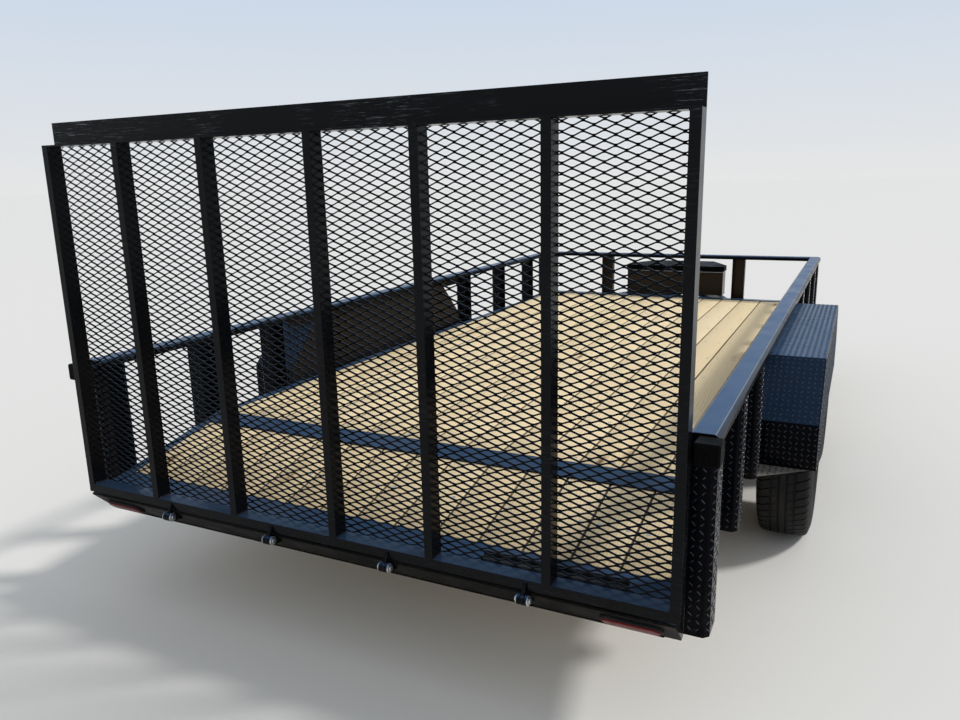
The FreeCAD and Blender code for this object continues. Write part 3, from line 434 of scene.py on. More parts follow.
def metal(name, colour, rough, grain):
    """Plated or bare steel with cloudy plating and fine brushed grain."""
    material, tree, shader, place = new_material(name)
    cloud = noise(tree, place, 34, 5, 0.65)
    shade = blend(tree, remap(tree, cloud, 0.3, 0.7), colour, [c * 0.75 for c in colour])
    rust = remap(tree, noise(tree, place, 90, 6, 0.7), 0.64, 0.74)
    shade = blend(tree, times(tree, rust, 0.6), shade, RUST)
    brushed = noise(tree, stretched(tree, place, grain), 300, 3)
    gloss = remap(tree, cloud, 0.3, 0.7, rough * 0.8, rough * 1.3)
    normal = bump(tree, brushed, 0.15, 0.0004)
    finish(tree, shader, Base_Color=shade, Roughness=gloss, Normal=normal, Metallic=1)
    return material


def wood(name):
    """Pressure treated pine: growth rings along each board, knots, stains and open grain."""
    material, tree, shader, place = new_material(name)
    tone = add_node(tree, "Attribute", attribute_name="tone").outputs["Fac"]
    shift = {"X": times(tree, tone, 3.7), "Y": times(tree, tone, 9.1)}
    shift = add_node(tree, "CombineXYZ", shift).outputs[0]
    moved = add_node(tree, "VectorMath", {0: place, 1: shift}, operation="ADD").outputs[0]
    cells = {"Vector": stretched(tree, moved, (5.2, 1.05, 1)), "Scale": 1, "Randomness": 1}
    near = add_node(tree, "TexVoronoi", cells).outputs["Distance"]
    around = remap(tree, near, 0, 0.32, 0.09, 0)
    bent = times(tree, noise(tree, stretched(tree, moved, (2, 0.7, 2)), 3, 3), 0.09)
    across = calc(tree, "ADD", calc(tree, "ADD", part_of(tree, moved, "X"), bent), around)
    flow = {"X": across, "Y": times(tree, part_of(tree, moved, "Y"), 0.03)}
    flow = add_node(tree, "CombineXYZ", flow).outputs[0]
    waves = {"Vector": flow, "Scale": 30, "Distortion": 1.3, "Detail": 3, "Detail Scale": 1.4}
    rings = add_node(tree, "TexWave", waves, wave_type="BANDS", bands_direction="X").outputs["Fac"]
    fibre = noise(tree, stretched(tree, moved, (260, 5, 260)), 1, 4, 0.6)
    stain = noise(tree, stretched(tree, moved, (6, 1.1, 6)), 1, 5, 0.6)
    board = add_node(tree, "TexWhiteNoise", {"W": tone}, noise_dimensions="1D").outputs["Value"]
    pale = blend(tree, board, (0.93, 0.78, 0.52), (0.88, 0.72, 0.46))
    late = blend(tree, board, (0.85, 0.68, 0.42), (0.78, 0.61, 0.36))
    shade = blend(tree, remap(tree, rings, 0.35, 0.95), pale, late)
    layers = (
        (remap(tree, fibre, 0.45, 0.78, 0, 0.3), (0.50, 0.36, 0.20)),
        (remap(tree, stain, 0.5, 0.8, 0, 0.3), (0.62, 0.52, 0.35)),
        (remap(tree, near, 0.13, 0.05, 0, 0.55), (0.40, 0.22, 0.08)),
        (remap(tree, near, 0.075, 0.045), (0.13, 0.06, 0.025)),
        # the boards' sides are darkened: painted shade in the gaps between the boards
        (remap(tree, sideways(tree), 0.3, 0.7, 0, 0.85), (0.07, 0.05, 0.03)),
    )
    for share, tint in layers:
        shade = blend(tree, share, shade, tint)
    normal = bump(tree, rings, 0.25, 0.001)
    normal = bump(tree, fibre, 0.3, 0.0008, normal)
    gloss = remap(tree, fibre, 0.3, 0.7, 0.62, 0.85)
    finish(tree, shader, Base_Color=shade, Roughness=gloss, Normal=normal, Specular_IOR_Level=0.3)
    return material


def rubber(name):
    """Black rubber with dust in its grain."""
    material, tree, shader, place = new_material(name)
    cloud = noise(tree, place, 11, 5, 0.6)
    grit = noise(tree, place, 240, 3, 0.7)
    darker, paler = (0.005, 0.005, 0.0052), (0.012, 0.0115, 0.011)
    shade = blend(tree, remap(tree, cloud, 0.35, 0.75), darker, paler)
    dust = times(tree, remap(tree, cloud, 0.45, 0.7), remap(tree, grit, 0.4, 0.75, 0, 0.25))
    shade = blend(tree, dust, shade, (0.16, 0.14, 0.115))
    normal = bump(tree, grit, 0.25, 0.0006)
    gloss = remap(tree, cloud, 0.3, 0.7, 0.55, 0.8)
    finish(tree, shader, Base_Color=shade, Roughness=gloss, Normal=normal, Specular_IOR_Level=0.2)
    return material


def lens(name):
    """Dark red plastic, slightly cloudy."""
    material, tree, shader, place = new_material(name)
    cloud = noise(tree, place, 60, 3)
    share = remap(tree, cloud, 0.3, 0.7)
    shade = blend(tree, share, (0.13, 0.002, 0.003), (0.085, 0.0015, 0.002))
    gloss = remap(tree, cloud, 0.3, 0.7, 0.25, 0.4)
    finish(tree, shader, Base_Color=shade, Roughness=gloss, Specular_IOR_Level=0.1)
    return material


# the sky values of these paints lay a painted blue sky reflection on their upward faces
BLACK = paint("black_gloss", (0.0018, 0.0018, 0.002), sky=0.62)
RAIL_BLACK = paint(
    "black_rail", (0.0018, 0.0018, 0.002), rough=0.24, specular=0.04, sky=0.95, bend_highlight=0.8
)
# a darker, duller copy of the black paint: painted shade on the latch blocks and the toolbox lid
SHADED_BLACK = paint("black_shaded", (0.0015, 0.0015, 0.0016), rough=0.5, dust=0.1, specular=0.03)
# black paint made brown: a painted reflection of the sunlit deck, on the toolbox body and the front posts
BLACK_WITH_PAINTED_REFLECTION = paint("black_gloss_painted_reflection", (0.026, 0.0185, 0.013), sky=0.2)
# the tail plate's painted sky reflection stops short of its rear edge, which leaves that strip dark as
# painted shade
TAIL_BLACK = paint(
    "black_tail", (0.0016, 0.0016, 0.0018), rough=0.4, specular=0.03, sky=0.7, sky_ahead=-2.85
)
GATE_BLACK = paint(
    "black_gloss_worn", (0.0022, 0.0025, 0.0034), dust=0.07, specular=0.1, sky=0.35, scratch=1.2
)
PLATE = paint(
    "tread_plate_black", (0.0018, 0.002, 0.003), dust=0.13, specular=0.03, sky=0.78, sky_from=0.45,
    side_sheen=0.3, shelf_dust_and_light=0.8,
)
# the lugs are paler than the plate: a painted sheen for their glints, with dust on them
LUG = paint(
    "tread_lug_black", (0.010, 0.011, 0.014), rough=0.14, dust=0.3, specular=0.5, sky=0.85, sky_from=0.45
)
MESH_BLACK = paint(
    "mesh_black", (0.0022, 0.0018, 0.0016), rough=0.25, dust=0.1, specular=0.1, sky=0.15
)
WELD = paint("weld_black", (0.004, 0.004, 0.0045), dust=0.1, peel=0.3, specular=0.3)
SATIN = paint("satin_black", (0.007, 0.007, 0.0075), rough=0.42, dust=0.3, specular=0.25)
SPRING = paint("spring_black", (0.014, 0.013, 0.012), rough=0.55, dust=0.45, specular=0.3)
SILVER = paint("wheel_silver", (0.36, 0.37, 0.39), rough=0.32, dust=0.35, peel=0.06, specular=0.5)
ZINC = metal("zinc_plate", (0.62, 0.63, 0.65), 0.34, (1, 1, 0.05))
BOLT = metal("bolt_steel", (0.55, 0.54, 0.50), 0.38, (1, 1, 1))
WOOD = wood("pine_boards")
RUBBER = rubber("tyre_rubber")
LENS = lens("red_lens")


# Deck


def board_ring(x0, x1, y, top, low, lift):
    """Section of a board with its long edges eased."""
    c = 3
    outline = [
        (x0 + c, low), (x1 - c, low), (x1, low + c), (x1, top - c), (x1 - 1, top - 1), (x1 - c, top),
        (x0 + c, top), (x0 + 1, top - 1), (x0, top - c), (x0, low + c),
    ]
    return [spot(x, y, z + lift) for x, z in outline]


def board_start(i):
    return -CLEAR_X + BOARD_PLAY + i * (BOARD_W + BOARD_GAP)


def make_boards():
    """Boards with slightly uneven edges, in two lengths that meet at the bend."""
    shape = Shape()
    runs = (
        (TAIL_BOARD_Y, TAIL_LEN - 1, BOARD_T / math.cos(TAIL_LEAN)),
        (TAIL_LEN + BEND_GAP, HEADER_Y - 1, BOARD_T),
    )
    for i in range(BOARD_COUNT):
        x0 = board_start(i)
        for y0, y1, deep in runs:
            shape.tone = rng.uniform(0.05, 1)
            steps = max(2, int((y1 - y0) / 160))
            left = rng.uniform(0, BOARD_WANDER)
            right = rng.uniform(0, BOARD_WANDER)
            rings = []
            for k in range(steps + 1):
                y = y0 + (y1 - y0) * k / steps
                sag = -0.5 * rng.random()
                a = x0 + left * rng.random()
                b = x0 + BOARD_W - right * rng.random()
                top = deck_top(y)
                if 0 < k < steps:
                    rings.append(board_ring(a, b, y, top, top - deep, sag))
                    continue
                e = BOARD_EDGE
                end = board_ring(a + e, b - e, y, top - e, top - deep + e, sag)
                y += e if k == 0 else -e
                top = deck_top(y)
                full = board_ring(a, b, y, top, top - deep, sag)
                rings += [end, full] if k == 0 else [full, end]
            shape.loft(rings)
    piece("deck_boards", shape, WOOD, hides=["deck_planks"], angle=50)


def make_deck_screws():
    """Two screws in each board over every crossmember."""
    shape = Shape()
    head = [(-3, 3), (-0.6, 6.2), (0.3, 6.4), (0.5, 5.6), (0.4, 3), (-1.2, 2.6)]
    rows = [TAIL_CROSSMEMBER_Y]
    rows += [CROSSMEMBER_Y + i * CROSSMEMBER_STEP for i in range(CROSSMEMBER_COUNT)]
    for row in rows:
        lean = TAIL_LEAN if row < TAIL_LEN else 0
        axis = (0, -math.sin(lean), math.cos(lean))
        for i in range(BOARD_COUNT):
            middle = board_start(i) + BOARD_W / 2
            for side in (-SCREW_HALF, SCREW_HALF):
                x = middle + side + rng.uniform(-5, 5)
                y = row + rng.uniform(-6, 6)
                shape.turned(spot(x, y, deck_top(y)), axis, head, 12)
    piece("deck_screws", shape, BOLT)


# Rails


def rounded(path, radius, steps=4):
    """The path with its inner corners turned into arcs of that radius."""
    points = [path[0]]
    for before, corner, after in zip(path, path[1:], path[2:]):
        c = Vector(corner)
        back = (Vector(before) - c).normalized()
        ahead = (Vector(after) - c).normalized()
        half = back.angle(ahead) / 2
        cut = radius / math.tan(half)
        centre = c + (back + ahead).normalized() * radius / math.sin(half)
        start = c + back * cut - centre
        end = c + ahead * cut - centre
        sweep = start.angle(end)
        for k in range(steps + 1):
            t = k / steps
            mixed = start * math.sin((1 - t) * sweep) + end * math.sin(t * sweep)
            points.append(tuple(centre + mixed / math.sin(sweep)))
    points.append(path[-1])
    return points


def sheet_outline(path, thick):
    """Closed outline of a bent sheet, thick to the left of its path."""
    offset = []
    for i, point in enumerate(path):
        normals = []
        for a, b in ((i - 1, i), (i, i + 1)):
            if a >= 0 and b < len(path):
                run = (Vector(path[b]) - Vector(path[a])).normalized()
                normals.append(Vector((-run.y, run.x)))
        normal = sum(normals, Vector((0, 0))) / len(normals)
        offset.append(tuple(Vector(point) + normal * thick / normal.length_squared))
    return [tuple(p) for p in path] + offset[::-1]


def rail_line(foot, drop=0):
    """Line over a side rail's section, from foot mm below its top, and drop mm inside it."""
    half = [(RAIL_HALF_W, -foot), (RAIL_HALF_W, -RAIL_BEVEL - drop), (RAIL_HALF_W - RAIL_BEVEL, -drop)]
    return half + [(-a, z) for a, z in half[::-1]]


def rail_section(points, side, y, mitre=0):
    """A side rail's section at y, or cut at an angle there with a mitre of 1."""
    return [spot(side * (RAIL_X + a), y - mitre * (RAIL_HALF_W - a), RAIL_H + z) for a, z in points]


def make_rails():
    """Formed rails that meet in mitres at the front, the side ones with caps in their rear ends."""
    outline = sheet_outline(rounded(rail_line(28), 7), RAIL_T)
    cap = [(a * 0.9, z * 0.9 - 3.2) for a, z in rail_line(27)]
    for name, side in (("right", 1), ("left", -1)):
        shape = Shape()
        rear = rail_section(outline, side, RAIL_REAR_Y)
        front = rail_section(outline, side, RAIL_FRONT_Y, 1)
        shape.loft([[p.lerp(q, t / 8) for p, q in zip(rear, front)] for t in range(9)])
        shape.loft([rail_section(cap, side, RAIL_REAR_Y + inset) for inset in (0.5, 4)])
        piece("rail_%s_formed" % name, shape, RAIL_BLACK, hides=["side_rail_" + name])
    shape = Shape()
    left, right = [rail_section(outline, side, RAIL_FRONT_Y, 1) for side in (-1, 1)]
    shape.loft([[p.lerp(q, t / 4) for p, q in zip(left, right)] for t in range(5)])
    piece("rail_front_formed", shape, RAIL_BLACK, hides=["front_rail"])


# Tread plate


def add_lug(shape, centre, along, across, out, turn):
    """One raised lug: a lens shaped foot and a narrower top."""
    run = along * math.cos(turn) + across * math.sin(turn)
    side = out.cross(run)
    foot = [(1, 0), (0.45, 0.85), (-0.45, 0.85), (-1, 0), (-0.45, -0.85), (0.45, -0.85)]
    rings = []
    for lift, long, wide in ((-0.2, 1, 1), (LUG_H, 0.72, 0.42)):
        forth = run * LUG_HALF_L * long
        aside = side * LUG_HALF_W * wide
        rings.append([centre + (forth * a + aside * b + out * lift) * MM for a, b in foot])
    count = len(foot)
    faces = []
    for j in range(count):
        k = (j + 1) % count
        faces.append([j, k, count + k, count + j])
    faces.append([count + j for j in range(count)])
    shape.add([p for ring in rings for p in ring], faces)


def inside(u, v, outline):
    hit = False
    for (a, b), (c, d) in zip(outline, outline[1:] + outline[:1]):
        if (b > v) != (d > v) and u < (c - a) * (v - b) / (d - b) + a:
            hit = not hit
    return hit


def spread(values):
    """Places a pitch apart, centred over the range of the values."""
    low, high = min(values), max(values)
    count = max(1, int((high - low) / TREAD_PITCH))
    first = (high + low - (count - 1) * TREAD_PITCH) / 2
    return [first + i * TREAD_PITCH for i in range(count)]


def tread(shape, corner, along, across, out, outline):
    """Lugs in a chequered pattern over an outline given along two directions from a corner."""
    along = Vector(along)
    across = Vector(across)
    out = Vector(out)
    margin = TREAD_PITCH * 0.36
    us, vs = zip(*outline)
    for i, u in enumerate(spread(us)):
        for j, v in enumerate(spread(vs)):
            reach = [(u + a * margin, v + b * margin) for a in (-1, 1) for b in (-1, 1)]
            if all(inside(p, q, outline) for p, q in reach):
                centre = corner + (along * u + across * v) * MM
                turn = math.radians(45 if (i + j) % 2 else -45)
                add_lug(shape, centre, along, across, out, turn)


def rectangle(wide, high):
    return [(0, 0), (wide, 0), (wide, high), (0, high)]


def fender_lugs(shape, side):
    """Lugs on a fender's ends, slants, top and outer side, and on its gusset plates."""
    wide = FENDER_OUT - FENDER_IN
    length = FENDER_Y1 - FENDER_Y0
    upright = FENDER_SHOULDER - FENDER_BOTTOM
    slant = math.hypot(FENDER_SLANT, FENDER_TOP - FENDER_SHOULDER)
    rise = (FENDER_TOP - FENDER_SHOULDER) / slant
    run = FENDER_SLANT / slant
    across = (side, 0, 0)
    up = (0, 0, 1)
    panels = (
        (FENDER_Y0, FENDER_BOTTOM, up, (0, -1, 0), upright),
        (FENDER_Y0, FENDER_SHOULDER, (0, run, rise), (0, -rise, run), slant),
        (FENDER_Y0 + FENDER_SLANT, FENDER_TOP, (0, 1, 0), up, length - 2 * FENDER_SLANT),
        (FENDER_Y1, FENDER_SHOULDER, (0, -run, rise), (0, rise, run), slant),
        (FENDER_Y1, FENDER_BOTTOM, up, (0, 1, 0), upright),
    )
    for y, z, along, out, high in panels:
        tread(shape, spot(side * FENDER_IN, y, z), across, along, out, rectangle(wide, high))
    top = FENDER_TOP - FENDER_BOTTOM
    outline = [
        (0, 0), (length, 0), (length, upright), (length - FENDER_SLANT, top), (FENDER_SLANT, top),
        (0, upright),
    ]
    tread(shape, spot(side * FENDER_OUT, FENDER_Y0, FENDER_BOTTOM), (0, 1, 0), up, across, outline)
    gusset = [(0, 0), (wide - GUSSET_SHORT, 0), (0, GUSSET_L)]
    for y, way in ((FENDER_Y0, -1), (FENDER_Y1, 1)):
        tread(shape, spot(side * FENDER_IN, y, FENDER_BOTTOM), across, (0, way, 0), up, gusset)


def post_lugs(shape, place, out, along, width, foot):
    """Lugs on a post's sides, bevels and face, out and along being its directions."""
    out = Vector(out)
    along = Vector(along)
    up = (0, 0, 1)
    high = POST_TOP - foot
    half = width / 2
    root = spot(*place) + Vector((0, 0, foot)) * MM
    deep = POST_DEPTH - POST_BEVEL
    for s in (-1, 1):
        tread(shape, root + along * s * half * MM, out, up, along * s, rectangle(deep, high))
        bevel = (out - along * s).normalized()
        corner = root + (along * s * half + out * deep) * MM
        tread(shape, corner, bevel, up, (out + along * s).normalized(), rectangle(POST_BEVEL * 1.9, high))
    corner = root + (out * POST_DEPTH - along * (half - POST_BEVEL)) * MM
    tread(shape, corner, along, up, out, rectangle(width - 2 * POST_BEVEL, high))


def make_tread_plate():
    for name, side in (("right", 1), ("left", -1)):
        soften("fender_" + name, PLATE, 1.2)
        shape = Shape()
        fender_lugs(shape, side)
        piece("fender_%s_lugs" % name, shape, LUG)
        soften("side_posts_" + name, PLATE, 2)
        shape = Shape()
        for y in SIDE_POSTS:
            foot = deck_top(y) - FRAME_D
            post_lugs(shape, (side * DECK_HALF_W, y, 0), (side, 0, 0), (0, 1, 0), POST_W, foot)
        piece("post_%s_lugs" % name, shape, LUG)
    soften("front_posts", BLACK_WITH_PAINTED_REFLECTION, 2)
    shape = Shape()
    for x in (-FRONT_POST_X, FRONT_POST_X):
        post_lugs(shape, (x, DECK_LEN, 0), (0, 1, 0), (1, 0, 0), FRONT_POST_W, DECK_H - FRAME_D)
    piece("front_post_lugs", shape, LUG)


# Gate


def make_gate_mesh():
    """Expanded metal: rows of zigzag strands that join at tilted bonds."""
    shape = Shape()
    edge = 1012
    cells = 80
    rows = 100
    wide = 4
    half_t = 1.1
    lean = 0.55
    bond = 3.5
    half_cell = 2 * edge / cells
    low = GATE_Z - 4
    rise = (GATE_TOP - TOP_LEG_H + 18 - low) / rows
    mid_y = GATE_FACE_Y + half_t + lean * wide + 0.1
    for k in range(rows):
        rings = []
        for j in range(cells + 1):
            at_low = (j + k) % 2 == 0
            level = low + (k if at_low else k + 1) * rise
            z0 = level if at_low else level - wide
            z1 = z0 + wide
            y0 = mid_y + lean * (z0 - level)
            y1 = mid_y + lean * (z1 - level)
            section = ((y0 - half_t, z0), (y0 + half_t, z0), (y1 + half_t, z1), (y1 - half_t, z1))
            for s in (-1, 1):
                if (j == 0 and s < 0) or (j == cells and s > 0):
                    continue
                x = -edge + j * half_cell + s * bond
                rings.append([spot(x, y, z) for y, z in section])
        shape.loft(rings)
    piece("gate_mesh_expanded", shape, MESH_BLACK, "gate", ["gate_mesh"], angle=25)


# Wheels


def tyre_mesh():
    """Tyre with a lip at the rim, grooves round the tread and cuts across its ribs and edges."""
    side = [
        (70, 191), (71.5, 206), (81, 209.5), (84, 208), (92.5, 217), (93.6, 221), (98.6, 233),
        (101, 246), (101.4, 256), (101.3, 268), (100.2, 270), (100.2, 273), (100.8, 275),
        (99.2, 288), (96.6, 302), (93, 313), (91, 321), (87.5, 330), (82, 336), (76, 339.4),
    ]
    crown = [46.5, 45.3, 38.7, 37.5, 18, 17, 10.8, 9.8]
    crown_half = 76
    crown_drop = 4.4
    grooves = (45.3, 38.7, 17, 10.8)
    groove_deep = 7
    pitches = 58
    # share of a pitch, and whether the tread is cut there
    pattern = [(0, False), (0.04, True), (0.13, True), (0.17, False), (0.6, False)]
    half = []
    for a, r in side:
        half.append((a, r, "edge" if a < 92 and r > 318 else "wall"))
    for a in crown:
        r = AXLE_Z - (a / crown_half) ** 2 * crown_drop
        if a in grooves:
            half.append((a, r - groove_deep, "groove"))
        else:
            half.append((a, r, "edge" if a == crown[0] else "rib"))
    section = half + [(-a, r, kind) for a, r, kind in half[::-1]]
    rings = []
    for i in range(pitches):
        for share, cut in pattern:
            ring = []
            for a, r, kind in section:
                turn = math.tau * (i + share) / pitches
                if kind != "wall":
                    turn += math.copysign(0.0011, a) * (abs(a) - 46)
                if cut and kind == "edge":
                    r -= 5.5
                    a -= math.copysign(2, a) if abs(a) > 80 else 0
                if cut and kind == "rib" and abs(a) > 30:
                    r -= 3.5
                ring.append(Vector((a, r * math.sin(turn), r * math.cos(turn))) * MM)
            rings.append(ring)
    shape = Shape()
    shape.loft(rings, closed=True)
    return mesh_from("tyre_tread", shape, 30)


def lathe(profile, sides):
    """Closed ring of (across, radius) turned about the X axis."""
    shape = Shape()
    rings = [[Vector((a, r * s, r * c)) * MM for a, r in profile] for c, s in circle(sides)]
    shape.loft(rings, closed=True)
    return shape


def cut_with(mesh, cutter):
    """The mesh with another mesh cut out of it."""
    base = new_object("base", mesh)
    tool = new_object("tool", cutter)
    modifier = base.modifiers.new("cut", "BOOLEAN")
    modifier.operation = "DIFFERENCE"
    modifier.object = tool
    modifier.solver = "EXACT"
    depsgraph = bpy.context.evaluated_depsgraph_get()
    result = bpy.data.meshes.new_from_object(base.evaluated_get(depsgraph))
    bpy.data.objects.remove(base)
    bpy.data.objects.remove(tool)
    result.shade_smooth()
    result.set_sharp_from_angle(angle=math.radians(35))
    return result


def squarish(v):
    return math.copysign(abs(v) ** 0.7, v)


def rim_meshes():
    """The rim's barrel, and its dished disc with rounded windows."""
    path = [(-79, 204), (-76, 207.5), (-72, 205), (-71, 191.5), (-54, 187), (-40, 169)]
    path += [(-a, r) for a, r in path[::-1]]
    barrel = lathe(sheet_outline(rounded(path, 3, 2), -3.2), 96)
    path = [(9, 40), (9, 84), (15, 95), (27, 104), (28, 148), (22, 160), (6, 166.5)]
    disc = mesh_from("rim_disc", lathe(sheet_outline(rounded(path, 5, 2), 4), 96))
    outline = [(squarish(c) * 18, squarish(s) * 16) for c, s in circle(28)]
    windows = Shape()
    count = 8
    for i in range(count):
        turn = math.tau * (i + 0.5) / count
        out = Vector((0, math.sin(turn), math.cos(turn)))
        around = Vector((0, math.cos(turn), -math.sin(turn)))
        ends = [Vector((across, 0, 0)) + out * 130 for across in (-60, 60)]
        windows.loft([[(end + around * u + out * v) * MM for u, v in outline] for end in ends])
    return mesh_from("rim_barrel", barrel), cut_with(disc, mesh_from("rim_windows", windows))


def nut_mesh():
    """Five nuts on their studs."""
    shape = Shape()
    circle_r = 57.15
    # profile of (along, radius) and sides of the cone seat, hexagon and stud
    parts = (
        ([(9, 10.5), (12, 10.5), (16, 9.4)], 20),
        ([(12, 10.9), (27, 10.9), (29, 9.2)], 6),
        ([(20, 6.1), (33, 6.1), (34, 5)], 12),
    )
    for c, s in circle(5):
        centre = Vector((0, circle_r * s, circle_r * c)) * MM
        for profile, sides in parts:
            shape.turned(centre, (1, 0, 0), profile, sides)
    return mesh_from("wheel_nuts", shape, 30)


def hub_mesh():
    """Brake drum with two grooves, and the hub with its grease cap."""
    profile = [
        (-88, 20), (-88, 118), (-86, 122), (-80, 127), (-72, 127), (-70, 124.5),
        (-62, 124.5), (-60, 127), (-52, 127), (-50, 124.5), (-42, 124.5), (-40, 127),
        (-31, 127), (-28, 124), (-28, 82), (-20, 78), (4, 78), (4.8, 76), (4.8, 41),
        (34, 41), (37, 39.5), (38.5, 36), (39, 33.5), (42, 33), (45, 28), (45.6, 15),
        (46, 13), (46, 0.3), (10, 0.3), (10, 18.5), (-60, 18.5),
    ]
    return mesh_from("hub_drum", lathe(profile, 72), 30)


def valve_mesh():
    shape = Shape()
    stem = [(-2, 7), (2, 7), (5, 4.6), (22, 4.2), (23, 4.9), (33, 4.9), (35, 3.6)]
    shape.turned(Vector((26, 0, 155)) * MM, (1, 0, 0.25), stem, 14)
    return mesh_from("wheel_valve", shape)


def make_wheels():
    """Four wheels from one set of meshes, each turned to a random quarter."""
    tyre = tyre_mesh()
    barrel, disc = rim_meshes()
    hub = hub_mesh()
    nuts = nut_mesh()
    valve = valve_mesh()
    for row, y in zip(("rear", "front"), AXLE_Y):
        for name, side in (("left", -1), ("right", 1)):
            tag = "%s_%s" % (row, name)
            parts = (
                ("tyre_%s_moulded", tyre, RUBBER, "tyre", ["tyre_" + tag]),
                ("rim_%s_barrel", barrel, SILVER, "wheel_paint", ["rim_" + tag]),
                ("rim_%s_disc", disc, SILVER, "wheel_paint", []),
                ("hub_%s_drum", hub, SATIN, "axle_black", ["hub_" + tag]),
                ("nuts_%s", nuts, ZINC, "zinc", []),
                ("valve_%s", valve, RUBBER, "tyre", []),
            )
            place = Matrix.Translation(spot(side * TRACK_HALF, y, AXLE_Z))
            flip = Matrix.Rotation(0 if side > 0 else math.pi, 4, "Z")
            turn = Matrix.Rotation(rng.randrange(4) * math.pi / 2, 4, "X")
            for label, mesh, material, slot, hides in parts:
                obj = new_object(label % tag, mesh)
                obj.matrix_world = place @ flip @ turn
                dress(obj, material, "wheel_" + tag, hides)


# Lamps


def oval(centre, up, out, length, width, lift):
    """Ring with round ends on a lamp's face, in mm from its centre."""
    points = []
    for end in (1, -1):
        for k in range(13):
            t = math.pi * (k / 12 - 0.5)
            u = end * (length / 2 - width / 2 + width / 2 * math.cos(t))
            v = end * width / 2 * math.sin(t)
            points.append(centre + (Vector((u, 0, 0)) + up * v + out * lift) * MM)
    return points


def make_lamps():
    """Oval lamps in rubber seals on the sloped plate under the tail."""
    half = (FRAME_D - 5) / (1 + TAIL_DROP / TAIL_LEN) / 2
    out = Vector((0, -1, -1)).normalized()
    up = Vector((0, -1, 1)).normalized()
    # length, width and lift of each ring
    seal_rings = [
        (165, 57, 0.2), (165, 57, 5), (161, 53, 7.5), (153, 45, 7.5), (152, 44, 4), (150, 42, 1),
    ]
    lens_rings = [(152, 44, 2), (151, 43, 8.5), (147, 39, 10.8), (120, 20, 11.8), (80, 6, 12)]
    glass = Shape()
    seal = Shape()
    for side in (-1, 1):
        centre = spot(side * DECK_HALF_W * 0.885, half, deck_top(0) - 5 - half)
        seal.loft([oval(centre, up, out, *ring) for ring in seal_rings])
        glass.loft([oval(centre, up, out, *ring) for ring in lens_rings])
    piece("lamp_lenses", glass, LENS, hides=["tail_lamps"])
    piece("lamp_seals", seal, RUBBER)


# Small fasteners, welds and fittings


def bead(shape, start, end, radius=2.2, step=3):
    """A weld bead between two points of the model, rippled along its length."""
    steps = max(4, int((end - start).length / MM / step))
    line = [start.lerp(end, k / steps) for k in range(steps + 1)]
    sizes = [radius * MM * (0.85 + 0.3 * (k % 2) + rng.uniform(-0.1, 0.1)) for k in range(steps + 1)]
    sizes[0] = sizes[-1] = radius * MM * 0.4
    shape.tube(line, sizes, 6)


def hex_head(shape, centre, axis, size, deep):
    """A washer with a hexagon head on it, standing on centre."""
    shape.turned(centre, axis, [(-1, size * 1.3), (1.6, size * 1.3), (2.2, size * 1.15)], 20)
    shape.turned(centre, axis, [(1.5, size), (deep - 0.8, size), (deep, size * 0.84)], 6)


def post_bead(shape, x, y, top):
    """A bead up a post's edge on the frame below a deck height."""
    bead(shape, spot(x, y, top - FRAME_D + 3), spot(x, y, top - 6))


def make_welds():
    """Beads at the gate's uprights, the posts, the fenders' edges and the rails' rear caps."""
    gate = Shape()
    proud = 1.2
    aside = 0.6
    beside = TUBE_W / 2 + 1
    for share in UPRIGHT_PLACES:
        for step in (-beside, beside):
            x = share * (GATE_HALF_W - TUBE_W / 2) + step
            if abs(x) < GATE_HALF_W:
                for z in (GATE_Z + proud, GATE_TOP - TOP_LEG_H - proud):
                    bead(gate, spot(x, 4, z), spot(x, 46, z))
    piece("gate_welds", gate, WELD, "gate", angle=60)
    shape = Shape()
    heights = (FENDER_BOTTOM + 2, FENDER_SHOULDER, FENDER_TOP)
    corners = list(zip((FENDER_Y0, FENDER_Y0, FENDER_Y0 + FENDER_SLANT), heights))
    corners += list(zip((FENDER_Y1 - FENDER_SLANT, FENDER_Y1, FENDER_Y1), heights[::-1]))
    for side in (-1, 1):
        x = side * (DECK_HALF_W + proud)
        for middle in SIDE_POSTS:
            for y in (middle - POST_W / 2 - aside, middle + POST_W / 2 + aside):
                post_bead(shape, x, y, deck_top(middle))
        x = side * (FENDER_OUT - 1.4)
        for (y0, z0), (y1, z1) in zip(corners, corners[1:]):
            bead(shape, spot(x, y0, z0 - aside), spot(x, y1, z1 - aside), 1.6, 5)
    for side in (-1, 1):
        line = rail_section(rail_line(26, 1), side, RAIL_REAR_Y + proud)
        for start, end in zip(line, line[1:]):
            bead(shape, start, end, 1.6, 4)
    for middle in (-FRONT_POST_X, FRONT_POST_X):
        for x in (middle - FRONT_POST_W / 2 - aside, middle + FRONT_POST_W / 2 + aside):
            post_bead(shape, x, DECK_LEN + proud, DECK_H)
    piece("frame_welds", shape, WELD, angle=60)


